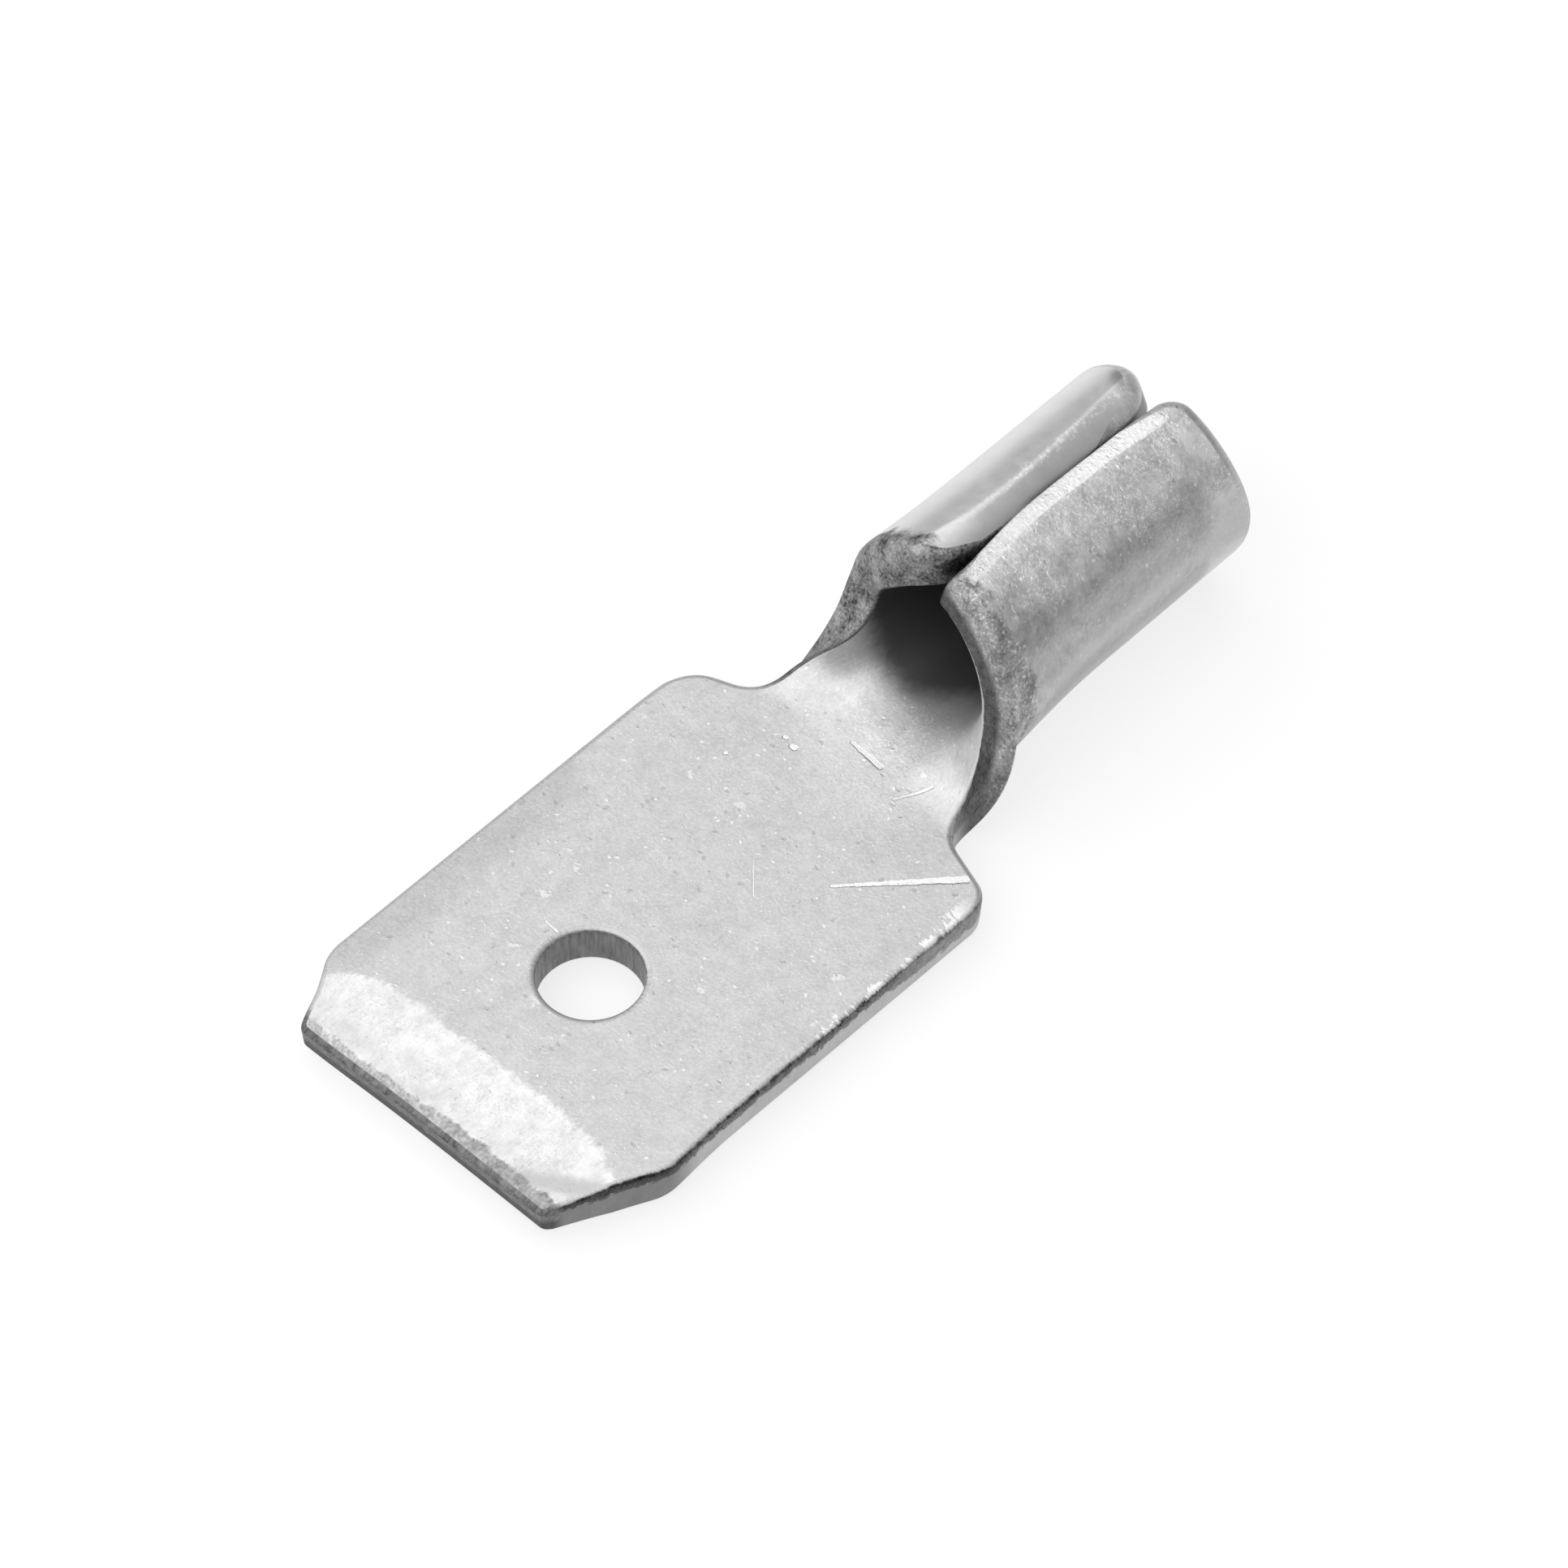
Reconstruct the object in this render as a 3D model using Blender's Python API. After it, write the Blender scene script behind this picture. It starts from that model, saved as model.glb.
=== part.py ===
"""Male blade terminal, stamped and rolled from one strip of tin-plated brass.

The model follows the way the real part is made. The flat pattern is cut out, its sheared
edges are broken, the lead-in of the blade and the lips of the seam are coined, and the wings
are rolled up into a barrel whose edges meet on top. The blade stays flat.

The flat pattern is measured along the strip from the blade's tip, and across it from the
centre line of hole, neck and barrel. Every point of the flat solid is then carried to its
place in the rolled one.

Frame: metres, +X from the tip to the barrel's rear, +Y to the left, +Z up. The origin lies
under the middle of the overall length and of the blade's width, on the surface below.
"""

import math

import bmesh
import bpy
import numpy as np
from mathutils import Vector

MM = 0.001

# The strip
SHEET = 0.72 * MM
SHEARED_EDGE = 0.07 * MM

# The blade, from its tip to the shoulder. A chamfer is (length along, width across).
BLADE_WIDTH = 6.3 * MM
BLADE_LENGTH = 8.55 * MM
LEFT_CHAMFER = (1.15 * MM, 0.62 * MM)
RIGHT_CHAMFER = (1.80 * MM, 0.78 * MM)
TIP_RADIUS = 0.15 * MM
CHAMFER_RADIUS = 0.9 * MM
LEFT_SHOULDER_RADIUS = 0.72 * MM
RIGHT_SHOULDER_RADIUS = 0.50 * MM
LEAD_IN_LENGTH = 1.38 * MM
LEAD_IN_DROP = 0.10 * MM
NOSE_LENGTH = 0.18 * MM
NOSE_DROP = 0.07 * MM

# The hole, and how far hole, neck and barrel lie to the left of the blade's middle
HOLE_DIAMETER = 1.62 * MM
HOLE_FROM_TIP = 3.5 * MM
HOLE_RIM = 0.05 * MM
AXIS_TO_LEFT = 0.09 * MM

# The notches and the neck, from the shoulder to the front of the wings
NECK_LENGTH = 2.27 * MM
WAIST_WIDTH = 3.75 * MM
NOTCH_RUN = 0.45 * MM
LEFT_NOTCH_RADIUS = 0.64 * MM
RIGHT_NOTCH_RADIUS = 0.62 * MM
LEFT_ROOT_RADIUS = 0.80 * MM
RIGHT_ROOT_RADIUS = 0.92 * MM
LEFT_WING_SLANT = 0.08 * MM
RIGHT_WING_SLANT = 0.62 * MM
FOLD_AFTER_SHOULDER = 0.36 * MM
TROUGH_FLOOR = 0.57 * MM
FLOOR_RUNS_OUT = 2.2 * MM

# The barrel
BARREL_DIAMETER = 3.55 * MM
BARREL_LENGTH = 5.0 * MM
LEFT_FRONT_RADIUS = 0.55 * MM
RIGHT_FRONT_RADIUS = 0.15 * MM
LEFT_REAR_RADIUS = 0.85 * MM
RIGHT_REAR_RADIUS = 0.40 * MM
SEAM_GAP = 0.05 * MM
SEAM_TO_RIGHT = 0.02 * MM

# The seam's lips, each pressed down towards the seam: (width, drop). The left one is a steep
# slope that starts at a crest, and the right one is nearly flat. They fade out at the front.
LEFT_LIP = (0.34 * MM, 0.24 * MM)
RIGHT_LIP = (0.25 * MM, 0.05 * MM)
LIP_FADE = 0.5 * MM

# The rolled-over ends of the barrel's outside
END_RUN = 0.24 * MM
END_DROP = 0.11 * MM

# Fineness of the facets
ARC_STEP = math.radians(18)
FOLD_STEP = math.radians(8)
NECK_STEP = 0.11 * MM
BARREL_STEP = 0.6 * MM
HOLE_STEPS = 48
SHARP_ANGLE = math.radians(35)
CUT_TOLERANCE = 0.001 * MM

# The share of a side that the two arcs at its ends may take up together
ARCS_SHARE = 0.98

# What follows from the sizes above
WING_FRONT = BLADE_LENGTH + NECK_LENGTH
LENGTH = WING_FRONT + BARREL_LENGTH
FOLD_START = BLADE_LENGTH + FOLD_AFTER_SHOULDER
MIDDLE_RADIUS = (BARREL_DIAMETER - SHEET) / 2
WRAP = math.pi * MIDDLE_RADIUS
LEFT_WING = WRAP + SEAM_TO_RIGHT - SEAM_GAP / 2
RIGHT_WING = WRAP - SEAM_TO_RIGHT - SEAM_GAP / 2


def clear_scene():
    for thing in list(bpy.data.objects):
        bpy.data.objects.remove(thing, do_unlink=True)


def tinned_metal():
    """Dull bright tin over brass."""
    material = bpy.data.materials.new("tinned_brass")
    material.use_nodes = True
    shader = material.node_tree.nodes["Principled BSDF"]
    shader.inputs["Base Color"].default_value = (0.60, 0.60, 0.59, 1.0)
    shader.inputs["Metallic"].default_value = 1.0
    shader.inputs["Roughness"].default_value = 0.38
    return material


def add_object(name, mesh_data):
    thing = bpy.data.objects.new(name, mesh_data)
    bpy.context.scene.collection.objects.link(thing)
    return thing


def fitted_radii(points, half_angles, radii):
    """Radii made smaller, in pairs, where two arcs would meet on the side between them."""
    reaches = [radius / math.tan(angle) for radius, angle in zip(radii, half_angles)]
    fits = [1.0] * len(points)
    for number, point in enumerate(points):
        side = (point - points[number - 1]).length
        fit = ARCS_SHARE * side / (reaches[number] + reaches[number - 1])
        fits[number] = min(fits[number], fit)
        fits[number - 1] = min(fits[number - 1], fit)
    return [radius * fit for radius, fit in zip(radii, fits)]


def rounded(corners):
    """Closed outline through (x, y, radius) corners, each of them turned into an arc."""
    points = [Vector(corner[:2]) for corner in corners]
    nexts = points[1:] + points[:1]
    befores = [(points[number - 1] - point).normalized() for number, point in enumerate(points)]
    afters = [(following - point).normalized() for point, following in zip(points, nexts)]
    half_angles = [before.angle(after) / 2 for before, after in zip(befores, afters)]
    radii = fitted_radii(points, half_angles, [corner[2] for corner in corners])
    path = []
    for corner, before, after, half_angle, radius in zip(points, befores, afters, half_angles, radii):
        centre = corner + (before + after).normalized() * radius / math.sin(half_angle)
        start = corner + before * radius / math.tan(half_angle) - centre
        end = corner + after * radius / math.tan(half_angle) - centre
        sweep = start.angle_signed(end)
        steps = max(2, math.ceil(abs(sweep) / ARC_STEP))
        for step in range(steps + 1):
            angle = -sweep * step / steps
            turned = Vector((
                start.x * math.cos(angle) - start.y * math.sin(angle),
                start.x * math.sin(angle) + start.y * math.cos(angle),
            ))
            path.append(centre + turned)
    return path


def side_corners(half_blade, wing, chamfer, shoulder, notch, root, wing_slant, front, rear):
    """One long edge of the flat pattern, tip to rear, at its distance from the centre line.

    half_blade and wing are half widths. shoulder, notch, root, front and rear are radii.
    """
    waist = WAIST_WIDTH / 2
    return [
        (0, half_blade - chamfer[1], TIP_RADIUS),
        (chamfer[0], half_blade, CHAMFER_RADIUS),
        (BLADE_LENGTH, half_blade, shoulder),
        (BLADE_LENGTH + NOTCH_RUN, waist, notch),
        (WING_FRONT - wing_slant, waist, root),
        (WING_FRONT, wing, front),
        (LENGTH, wing, rear),
    ]


def flat_pattern():
    """Outline of the whole strip, once round."""
    left = side_corners(
        half_blade=BLADE_WIDTH / 2 - AXIS_TO_LEFT,
        wing=LEFT_WING,
        chamfer=LEFT_CHAMFER,
        shoulder=LEFT_SHOULDER_RADIUS,
        notch=LEFT_NOTCH_RADIUS,
        root=LEFT_ROOT_RADIUS,
        wing_slant=LEFT_WING_SLANT,
        front=LEFT_FRONT_RADIUS,
        rear=LEFT_REAR_RADIUS,
    )
    right = side_corners(
        half_blade=BLADE_WIDTH / 2 + AXIS_TO_LEFT,
        wing=RIGHT_WING,
        chamfer=RIGHT_CHAMFER,
        shoulder=RIGHT_SHOULDER_RADIUS,
        notch=RIGHT_NOTCH_RADIUS,
        root=RIGHT_ROOT_RADIUS,
        wing_slant=RIGHT_WING_SLANT,
        front=RIGHT_FRONT_RADIUS,
        rear=RIGHT_REAR_RADIUS,
    )
    mirrored = [(x, -y, radius) for x, y, radius in right]
    return rounded(mirrored + left[::-1])


def cut_blank():
    """The flat solid, its middle plane at height 0, with every sheared edge broken."""
    blank = bmesh.new()
    corners = [blank.verts.new((p.x, p.y, -SHEET / 2)) for p in flat_pattern()]
    face = blank.faces.new(corners)
    grown = bmesh.ops.extrude_face_region(blank, geom=[face])["geom"]
    top = [item for item in grown if isinstance(item, bmesh.types.BMVert)]
    bmesh.ops.translate(blank, verts=top, vec=(0, 0, SHEET))
    bmesh.ops.recalc_face_normals(blank, faces=blank.faces[:])
    rims = [edge for edge in blank.edges if edge.verts[0].co.z == edge.verts[1].co.z]
    bmesh.ops.bevel(
        blank, geom=rims, offset=SHEARED_EDGE, segments=1, profile=0.5, affect="EDGES"
    )
    return blank


def score(blank, point, normal):
    """Adds a line of vertices where a plane meets the part of the blank that is folded."""
    folded = [f for f in blank.faces if f.calc_center_median().x > FOLD_START]
    parts = {e for f in folded for e in f.edges} | {v for f in folded for v in f.verts}
    bmesh.ops.bisect_plane(
        blank, geom=folded + list(parts), plane_co=point, plane_no=normal, dist=CUT_TOLERANCE
    )


def score_blank(blank):
    """Lines across the strip where it is coined or rolled, then lines along the wings."""
    for x in (NOSE_LENGTH, LEAD_IN_LENGTH, FOLD_START):
        everything = blank.verts[:] + blank.edges[:] + blank.faces[:]
        bmesh.ops.bisect_plane(
            blank, geom=everything, plane_co=(x, 0, 0), plane_no=(1, 0, 0), dist=CUT_TOLERANCE
        )
    neck_steps = round((WING_FRONT - FOLD_START) / NECK_STEP)
    barrel_steps = round(BARREL_LENGTH / BARREL_STEP)
    across = [FOLD_START + (WING_FRONT - FOLD_START) * i / neck_steps for i in range(1, neck_steps)]
    across += [WING_FRONT + BARREL_LENGTH * i / barrel_steps for i in range(barrel_steps)]
    across += [WING_FRONT + END_RUN / 2, WING_FRONT + END_RUN]
    across += [LENGTH - END_RUN, LENGTH - END_RUN / 2]
    for x in across:
        score(blank, (x, 0, 0), (1, 0, 0))
    pitch = MIDDLE_RADIUS * FOLD_STEP
    lips = (LEFT_WING - LEFT_LIP[0], -RIGHT_WING + RIGHT_LIP[0])
    along = [pitch * i for i in range(-int(RIGHT_WING / pitch), int(LEFT_WING / pitch) + 1)]
    along = [y for y in along if lips[1] + pitch / 3 < y < lips[0] - pitch / 3]
    for y in (*along, *lips):
        score(blank, (0, y, 0), (0, 1, 0))


def ease(t):
    """0 to 1 with a level start and a level end."""
    t = np.clip(t, 0, 1)
    return t ** 3 * (t * (6 * t - 15) + 10)


def towards(distance, run):
    """1 at an edge, falling to 0 at the distance of one run."""
    return np.clip(1 - distance / run, 0, 1)


def coined(x, y, height):
    """Height in the sheet after coining.

    The tip is squeezed from both faces. On the outer face of the barrel, the lips slope down
    to the seam and both ends are rolled over, which fades out where the neck begins.
    """
    tip = LEAD_IN_DROP * towards(x, LEAD_IN_LENGTH) + NOSE_DROP * towards(x, NOSE_LENGTH)
    height = height * (1 - 2 * tip / SHEET)
    left_lip = LEFT_LIP[1] * towards(LEFT_WING - y, LEFT_LIP[0])
    right_lip = RIGHT_LIP[1] * towards(RIGHT_WING + y, RIGHT_LIP[0])
    to_end = np.minimum(x - WING_FRONT, LENGTH - x)
    on_wing = ease((np.abs(y) - WAIST_WIDTH / 2) / MIDDLE_RADIUS)
    end = END_DROP * towards(to_end, END_RUN) ** 2 * np.where(x < LENGTH - END_RUN, on_wing, 1)
    drop = (left_lip + right_lip + end) * ease((x - WING_FRONT + LIP_FADE) / LIP_FADE)
    return np.where(height < 0, height * (1 - 2 * drop / SHEET), height)


def rolled(x, y, height):
    """Where a point of the flat strip lies once the strip is rolled.

    Across the strip, a floor stays flat and each side runs up an arc that starts where the
    floor ends. The arc's turn grows along the neck from nothing to a closed barrel.
    """
    fold = ease((x - FOLD_START) / (WING_FRONT - FOLD_START))
    run_out = WING_FRONT + FLOOR_RUNS_OUT - FOLD_START
    floor = TROUGH_FLOOR / 2 * (1 - ease((x - FOLD_START) / run_out))
    flat = np.clip(y, -floor, floor)
    arc = y - flat
    turn = arc * math.pi * fold / (WRAP - floor)
    # np.sinc(t / pi) is sin(t) / t, which stays finite where the strip is still flat.
    across = flat + arc * np.sinc(turn / math.pi) - height * np.sin(turn)
    up = arc * np.sin(turn / 2) * np.sinc(turn / 2 / math.pi) + height * np.cos(turn)
    return np.stack([x - LENGTH / 2, across + AXIS_TO_LEFT, up + SHEET / 2], axis=-1)


def blade_terminal(material):
    blank = cut_blank()
    score_blank(blank)
    flat = np.array([vertex.co for vertex in blank.verts])
    x, y = flat[:, 0], flat[:, 1]
    places = rolled(x, y, coined(x, y, flat[:, 2]))
    for vertex, place in zip(blank.verts, places):
        vertex.co = place
    bmesh.ops.recalc_face_normals(blank, faces=blank.faces[:])
    mesh_data = bpy.data.meshes.new("blade_terminal")
    blank.to_mesh(mesh_data)
    blank.free()
    mesh_data.materials.append(material)
    mesh_data.shade_smooth()
    mesh_data.set_sharp_from_angle(angle=SHARP_ANGLE)
    return add_object("blade_terminal", mesh_data)


def hole_cutter():
    """A turned punch, wider at both faces of the sheet by the rim's break."""
    radius = HOLE_DIAMETER / 2
    wide = radius + HOLE_RIM * 2
    profile = (
        (0, -HOLE_RIM),
        (wide, -HOLE_RIM),
        (radius, HOLE_RIM),
        (radius, SHEET - HOLE_RIM),
        (wide, SHEET + HOLE_RIM),
        (0, SHEET + HOLE_RIM),
    )
    punch = bmesh.new()
    ring = [punch.verts.new((r, 0, z)) for r, z in profile]
    edges = [punch.edges.new(pair) for pair in zip(ring, ring[1:])]
    bmesh.ops.spin(
        punch,
        geom=ring + edges,
        cent=(0, 0, 0),
        axis=(0, 0, 1),
        angle=2 * math.pi,
        steps=HOLE_STEPS,
        use_merge=True,
    )
    bmesh.ops.remove_doubles(punch, verts=punch.verts[:], dist=CUT_TOLERANCE)
    bmesh.ops.recalc_face_normals(punch, faces=punch.faces[:])
    mesh_data = bpy.data.meshes.new("hole_cutter")
    punch.to_mesh(mesh_data)
    punch.free()
    cutter = add_object("hole_cutter", mesh_data)
    cutter.location = (HOLE_FROM_TIP - LENGTH / 2, AXIS_TO_LEFT, 0)
    cutter.hide_render = True
    cutter.display_type = "WIRE"
    return cutter


def main():
    clear_scene()
    terminal = blade_terminal(tinned_metal())
    hole = terminal.modifiers.new("hole", "BOOLEAN")
    hole.operation = "DIFFERENCE"
    hole.solver = "EXACT"
    hole.object = hole_cutter()


main()
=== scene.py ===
# %% [markdown]
# # A blade terminal, stamped from one sheet
#
# The part is a small electrical terminal: a flat blade that pushes into a socket, a narrow
# neck, and a barrel that is crimped on a wire. It is one piece of tin-plated brass, stamped
# out flat and then rolled. The measured model gives its true size and place. This lesson
# makes the surface that a camera sees: rounded sheared edges, coined bevels and worn tin.
# Everything is in metres, in the frame of the measured model.

# %% Load the measured model
import math
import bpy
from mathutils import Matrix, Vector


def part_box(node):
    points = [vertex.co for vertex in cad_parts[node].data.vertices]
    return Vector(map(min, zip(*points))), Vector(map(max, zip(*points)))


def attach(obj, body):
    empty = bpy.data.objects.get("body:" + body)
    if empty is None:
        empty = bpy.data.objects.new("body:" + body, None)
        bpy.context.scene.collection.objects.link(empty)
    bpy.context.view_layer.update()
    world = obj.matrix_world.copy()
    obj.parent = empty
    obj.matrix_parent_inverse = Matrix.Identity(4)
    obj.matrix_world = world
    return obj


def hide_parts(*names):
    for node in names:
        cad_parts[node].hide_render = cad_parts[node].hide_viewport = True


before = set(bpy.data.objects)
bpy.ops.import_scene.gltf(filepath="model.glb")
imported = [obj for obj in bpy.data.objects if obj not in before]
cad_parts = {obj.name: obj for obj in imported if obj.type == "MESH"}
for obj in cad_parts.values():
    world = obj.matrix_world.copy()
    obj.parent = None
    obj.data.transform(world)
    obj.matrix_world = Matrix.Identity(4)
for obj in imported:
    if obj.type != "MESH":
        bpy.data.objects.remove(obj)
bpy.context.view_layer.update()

from types import SimpleNamespace

import bpy
import numpy as np
from mathutils import Matrix, Vector

MM = 0.001
low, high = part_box("blade_terminal")
print("measured model, mm:", [round((b - a) / MM, 3) for a, b in zip(low, high)])

# %% [markdown]
# ## The camera
#
# Where the photographer stood can be worked out from the part itself, because its outline
# is known. The view comes from in front of the tip, on the side of the blade's right edge, a
# little over 50 degrees up, with a long lens, so the two long edges stay almost parallel. A
# camera is placed by three unit vectors: right, up and back, and by the point that it stands
# at. Left and right always mean: seen from the tip, looking towards the barrel.

# %% Stand the camera where the photographer stood
VIEW_AZIMUTH = math.radians(-46.25)
VIEW_ELEVATION = math.radians(52.427)
VIEW_ROLL = math.radians(0.215)
VIEW_DISTANCE = 168.2 * MM
LENS = 265.1
SENSOR = 36.0
CLIP = (0.01, 10)
PHOTO_SIZE = 1932
HOLE_FROM_TIP = 3.5 * MM
SHEET = 0.72 * MM
HOLE_IN_PHOTO = (733.1, 1204.0)


def view_axes(azimuth, elevation, roll):
    """Right, up and back of a camera: back points from the object to the camera."""
    back = Vector((
        math.sin(azimuth) * math.cos(elevation),
        -math.cos(azimuth) * math.cos(elevation),
        math.sin(elevation),
    ))
    right = Vector((math.cos(azimuth), math.sin(azimuth), 0))
    up = back.cross(right)
    turned_right = math.cos(roll) * right + math.sin(roll) * up
    turned_up = math.cos(roll) * up - math.sin(roll) * right
    return turned_right, turned_up, back


def stand_camera():
    """Places the camera so that the blade's hole falls on its pixel in the photograph."""
    right, up, back = view_axes(VIEW_AZIMUTH, VIEW_ELEVATION, VIEW_ROLL)
    focal = LENS / SENSOR * PHOTO_SIZE
    aside = (HOLE_IN_PHOTO[0] - PHOTO_SIZE / 2) / focal * VIEW_DISTANCE
    above = (PHOTO_SIZE / 2 - HOLE_IN_PHOTO[1]) / focal * VIEW_DISTANCE
    hole = Vector((low.x + HOLE_FROM_TIP, 0, SHEET))
    place = hole + back * VIEW_DISTANCE - right * aside - up * above
    data = bpy.data.cameras.new("camera")
    data.lens = LENS
    data.sensor_width = SENSOR
    data.clip_start, data.clip_end = CLIP
    camera = bpy.data.objects.new("camera", data)
    bpy.context.scene.collection.objects.link(camera)
    turn = Matrix((right, up, back)).transposed().to_4x4()
    camera.matrix_world = Matrix.Translation(place) @ turn
    bpy.context.scene.camera = camera
    return camera


camera = stand_camera()
print("camera stands at, mm:", [round(c / MM, 1) for c in camera.matrix_world.translation])

# %% [markdown]
# ## The flat pattern
#
# Before it is rolled, the part is a flat piece of sheet with an outline like a paddle. Its
# corners are all rounded. The outline is drawn as a ring: arcs for the corners and straight
# runs between them, with the same number of points on the left edge as on the right. Rows
# can then cross the sheet from a point on the right to its partner on the left.
#
# x runs along the sheet from the blade's tip, and y across it from the line through the
# hole, the neck and the barrel. That line lies a little to the left of the blade's middle.

# %% Sizes of the flat pattern
LENGTH = high.x - low.x
BLADE_WIDTH = high.y - low.y
BARREL_DIAMETER = 3.55 * MM
AXIS_TO_LEFT = 0.09 * MM
BLADE_LENGTH = 8.55 * MM
NECK_LENGTH = 2.27 * MM
NOTCH_RUN = 0.45 * MM
WAIST = 3.75 / 2 * MM
WING_FRONT = BLADE_LENGTH + NECK_LENGTH
WRAP = math.pi * (BARREL_DIAMETER - SHEET) / 2
SEAM_GAP = 0.05 * MM
SEAM_TO_RIGHT = 0.02 * MM
WING = {"left": WRAP + SEAM_TO_RIGHT - SEAM_GAP / 2, "right": WRAP - SEAM_TO_RIGHT - SEAM_GAP / 2}
HALF_BLADE = {"left": BLADE_WIDTH / 2 - AXIS_TO_LEFT, "right": BLADE_WIDTH / 2 + AXIS_TO_LEFT}
CHAMFER = {"left": (1.15 * MM, 0.62 * MM), "right": (1.80 * MM, 0.78 * MM)}
TIP_RADIUS = 0.15 * MM
CHAMFER_RADIUS = 0.9 * MM
SHOULDER_RADIUS = {"left": 0.72 * MM, "right": 0.50 * MM}
NOTCH_RADIUS = {"left": 0.64 * MM, "right": 0.62 * MM}
ROOT_RADIUS = {"left": 0.80 * MM, "right": 0.92 * MM}
WING_SLANT = {"left": 0.08 * MM, "right": 0.62 * MM}
FRONT_RADIUS = {"left": 0.55 * MM, "right": 0.15 * MM}
REAR_RADIUS = {"left": 0.85 * MM, "right": 0.40 * MM}
print("flat width of each wing, mm:", {side: round(width / MM, 3) for side, width in WING.items()})

# %% Draw the two long edges
# Points on each arc, and on the straight run after it, from the tip to the rear.
ARC_POINTS = (6, 8, 12, 10, 20, 12, 16)
RUN_POINTS = (22, 66, 6, 8, 26, 44)


def side_corners(side):
    """Corners of one long edge, tip to rear, as x, distance from the axis, and radius."""
    half, wing = HALF_BLADE[side], WING[side]
    chamfer = CHAMFER[side]
    return np.array([
        (0, half - chamfer[1], TIP_RADIUS),
        (chamfer[0], half, CHAMFER_RADIUS),
        (BLADE_LENGTH, half, SHOULDER_RADIUS[side]),
        (BLADE_LENGTH + NOTCH_RUN, WAIST, NOTCH_RADIUS[side]),
        (WING_FRONT - WING_SLANT[side], WAIST, ROOT_RADIUS[side]),
        (WING_FRONT, wing, FRONT_RADIUS[side]),
        (LENGTH, wing, REAR_RADIUS[side]),
    ])


def corner_arc(before, corner, after, points):
    """Arc of a rounded corner. It starts where a circle of the corner's radius touches the
    incoming side and turns with it: centre - n r cos(a) + e r sin(a), where e is the
    incoming direction and n points from the side to the circle's centre."""
    radius = corner[2]
    e = (corner[:2] - before[:2]) / np.linalg.norm(corner[:2] - before[:2])
    out = (after[:2] - corner[:2]) / np.linalg.norm(after[:2] - corner[:2])
    turn = math.atan2(e[0] * out[1] - e[1] * out[0], e @ out)
    n = np.array([-e[1], e[0]]) * np.sign(turn)
    start = corner[:2] - e * radius * math.tan(abs(turn) / 2)
    a = np.linspace(0, abs(turn), points + 1)[:, None]
    return start + n * radius * (1 - np.cos(a)) + e * radius * np.sin(a)


def side_path(side, mirror):
    """One long edge from the middle of its tip arc to the middle of its rear arc."""
    corners = side_corners(side) * (1, mirror, 1)
    first = corners[0] * (1, -1, 1)
    last = corners[-1] * (1, -1, 1)
    chain = np.vstack([first, corners, last])
    arcs = [
        corner_arc(chain[k], chain[k + 1], chain[k + 2], ARC_POINTS[k])
        for k in range(len(corners))
    ]
    pieces = [arcs[0][ARC_POINTS[0] // 2:]]
    for arc, following, points in zip(arcs, arcs[1:], RUN_POINTS):
        t = np.linspace(0, 1, points + 1)[1:-1, None]
        pieces += [arc[-1] * (1 - t) + following[0] * t, following]
    pieces[-1] = pieces[-1][: ARC_POINTS[-1] // 2 + 1]
    return np.vstack(pieces), arcs


right_side, right_arcs = side_path("right", -1)
left_side, left_arcs = side_path("left", 1)
print("points along each long edge:", len(right_side), len(left_side))

# %% [markdown]
# ## Rows and columns over the sheet
#
# A grid needs the same number of points on opposite sides. The two long edges already
# match. The tip and the rear are resampled to one number of columns, which stand closer
# together near the edges, where the seam's lips need them. Rows that start on the front of
# a wing would all lie on one line, so they bow backwards, as a fan opens.
#
# The sheared edge is rounded, so the flat faces stop short of the outline. The ring is moved
# inwards for them, and the strip between is the cut edge, which comes later.

# %% Close the ring
COLUMNS = 112
CROWDING = 0.6
half_arc = {"tip": ARC_POINTS[0] // 2, "rear": ARC_POINTS[-1] // 2}


def resample(path, fractions):
    """Points of a polyline at given fractions of its length."""
    steps = np.linalg.norm(np.diff(path, axis=0), axis=1)
    along = np.concatenate([[0], np.cumsum(steps)])
    wanted = fractions * along[-1]
    return np.stack([np.interp(wanted, along, path[:, k]) for k in (0, 1)], axis=1)


def inward(ring):
    """Unit normals of a closed ring that runs counter-clockwise, pointing inside."""
    tangent = np.roll(ring, -1, axis=0) - np.roll(ring, 1, axis=0)
    tangent /= np.linalg.norm(tangent, axis=1)[:, None]
    return np.stack([-tangent[:, 1], tangent[:, 0]], axis=1)


even = np.linspace(0, 1, COLUMNS + 1)
across = even - CROWDING * np.sin(2 * math.pi * even) / (2 * math.pi)
tip_path = np.vstack([
    right_arcs[0][: half_arc["tip"] + 1][::-1],
    left_arcs[0][: half_arc["tip"] + 1],
])
rear_path = np.vstack([
    right_arcs[-1][half_arc["rear"]:],
    left_arcs[-1][half_arc["rear"]:][::-1],
])
outline = np.vstack([
    right_side[:-1],
    resample(rear_path, across)[:-1],
    left_side[::-1][:-1],
    resample(tip_path, across)[::-1][:-1],
])
normals = inward(outline)
ROWS = len(right_side) - 1
row_of_ring = np.concatenate([
    np.arange(ROWS),
    np.full(COLUMNS, ROWS),
    np.arange(ROWS, 0, -1),
    np.zeros(COLUMNS, int),
])
column_of_ring = np.concatenate([
    np.zeros(ROWS, int),
    np.arange(COLUMNS),
    np.full(ROWS, COLUMNS),
    np.arange(COLUMNS, 0, -1),
])
print("points round the outline:", len(outline))

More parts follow.
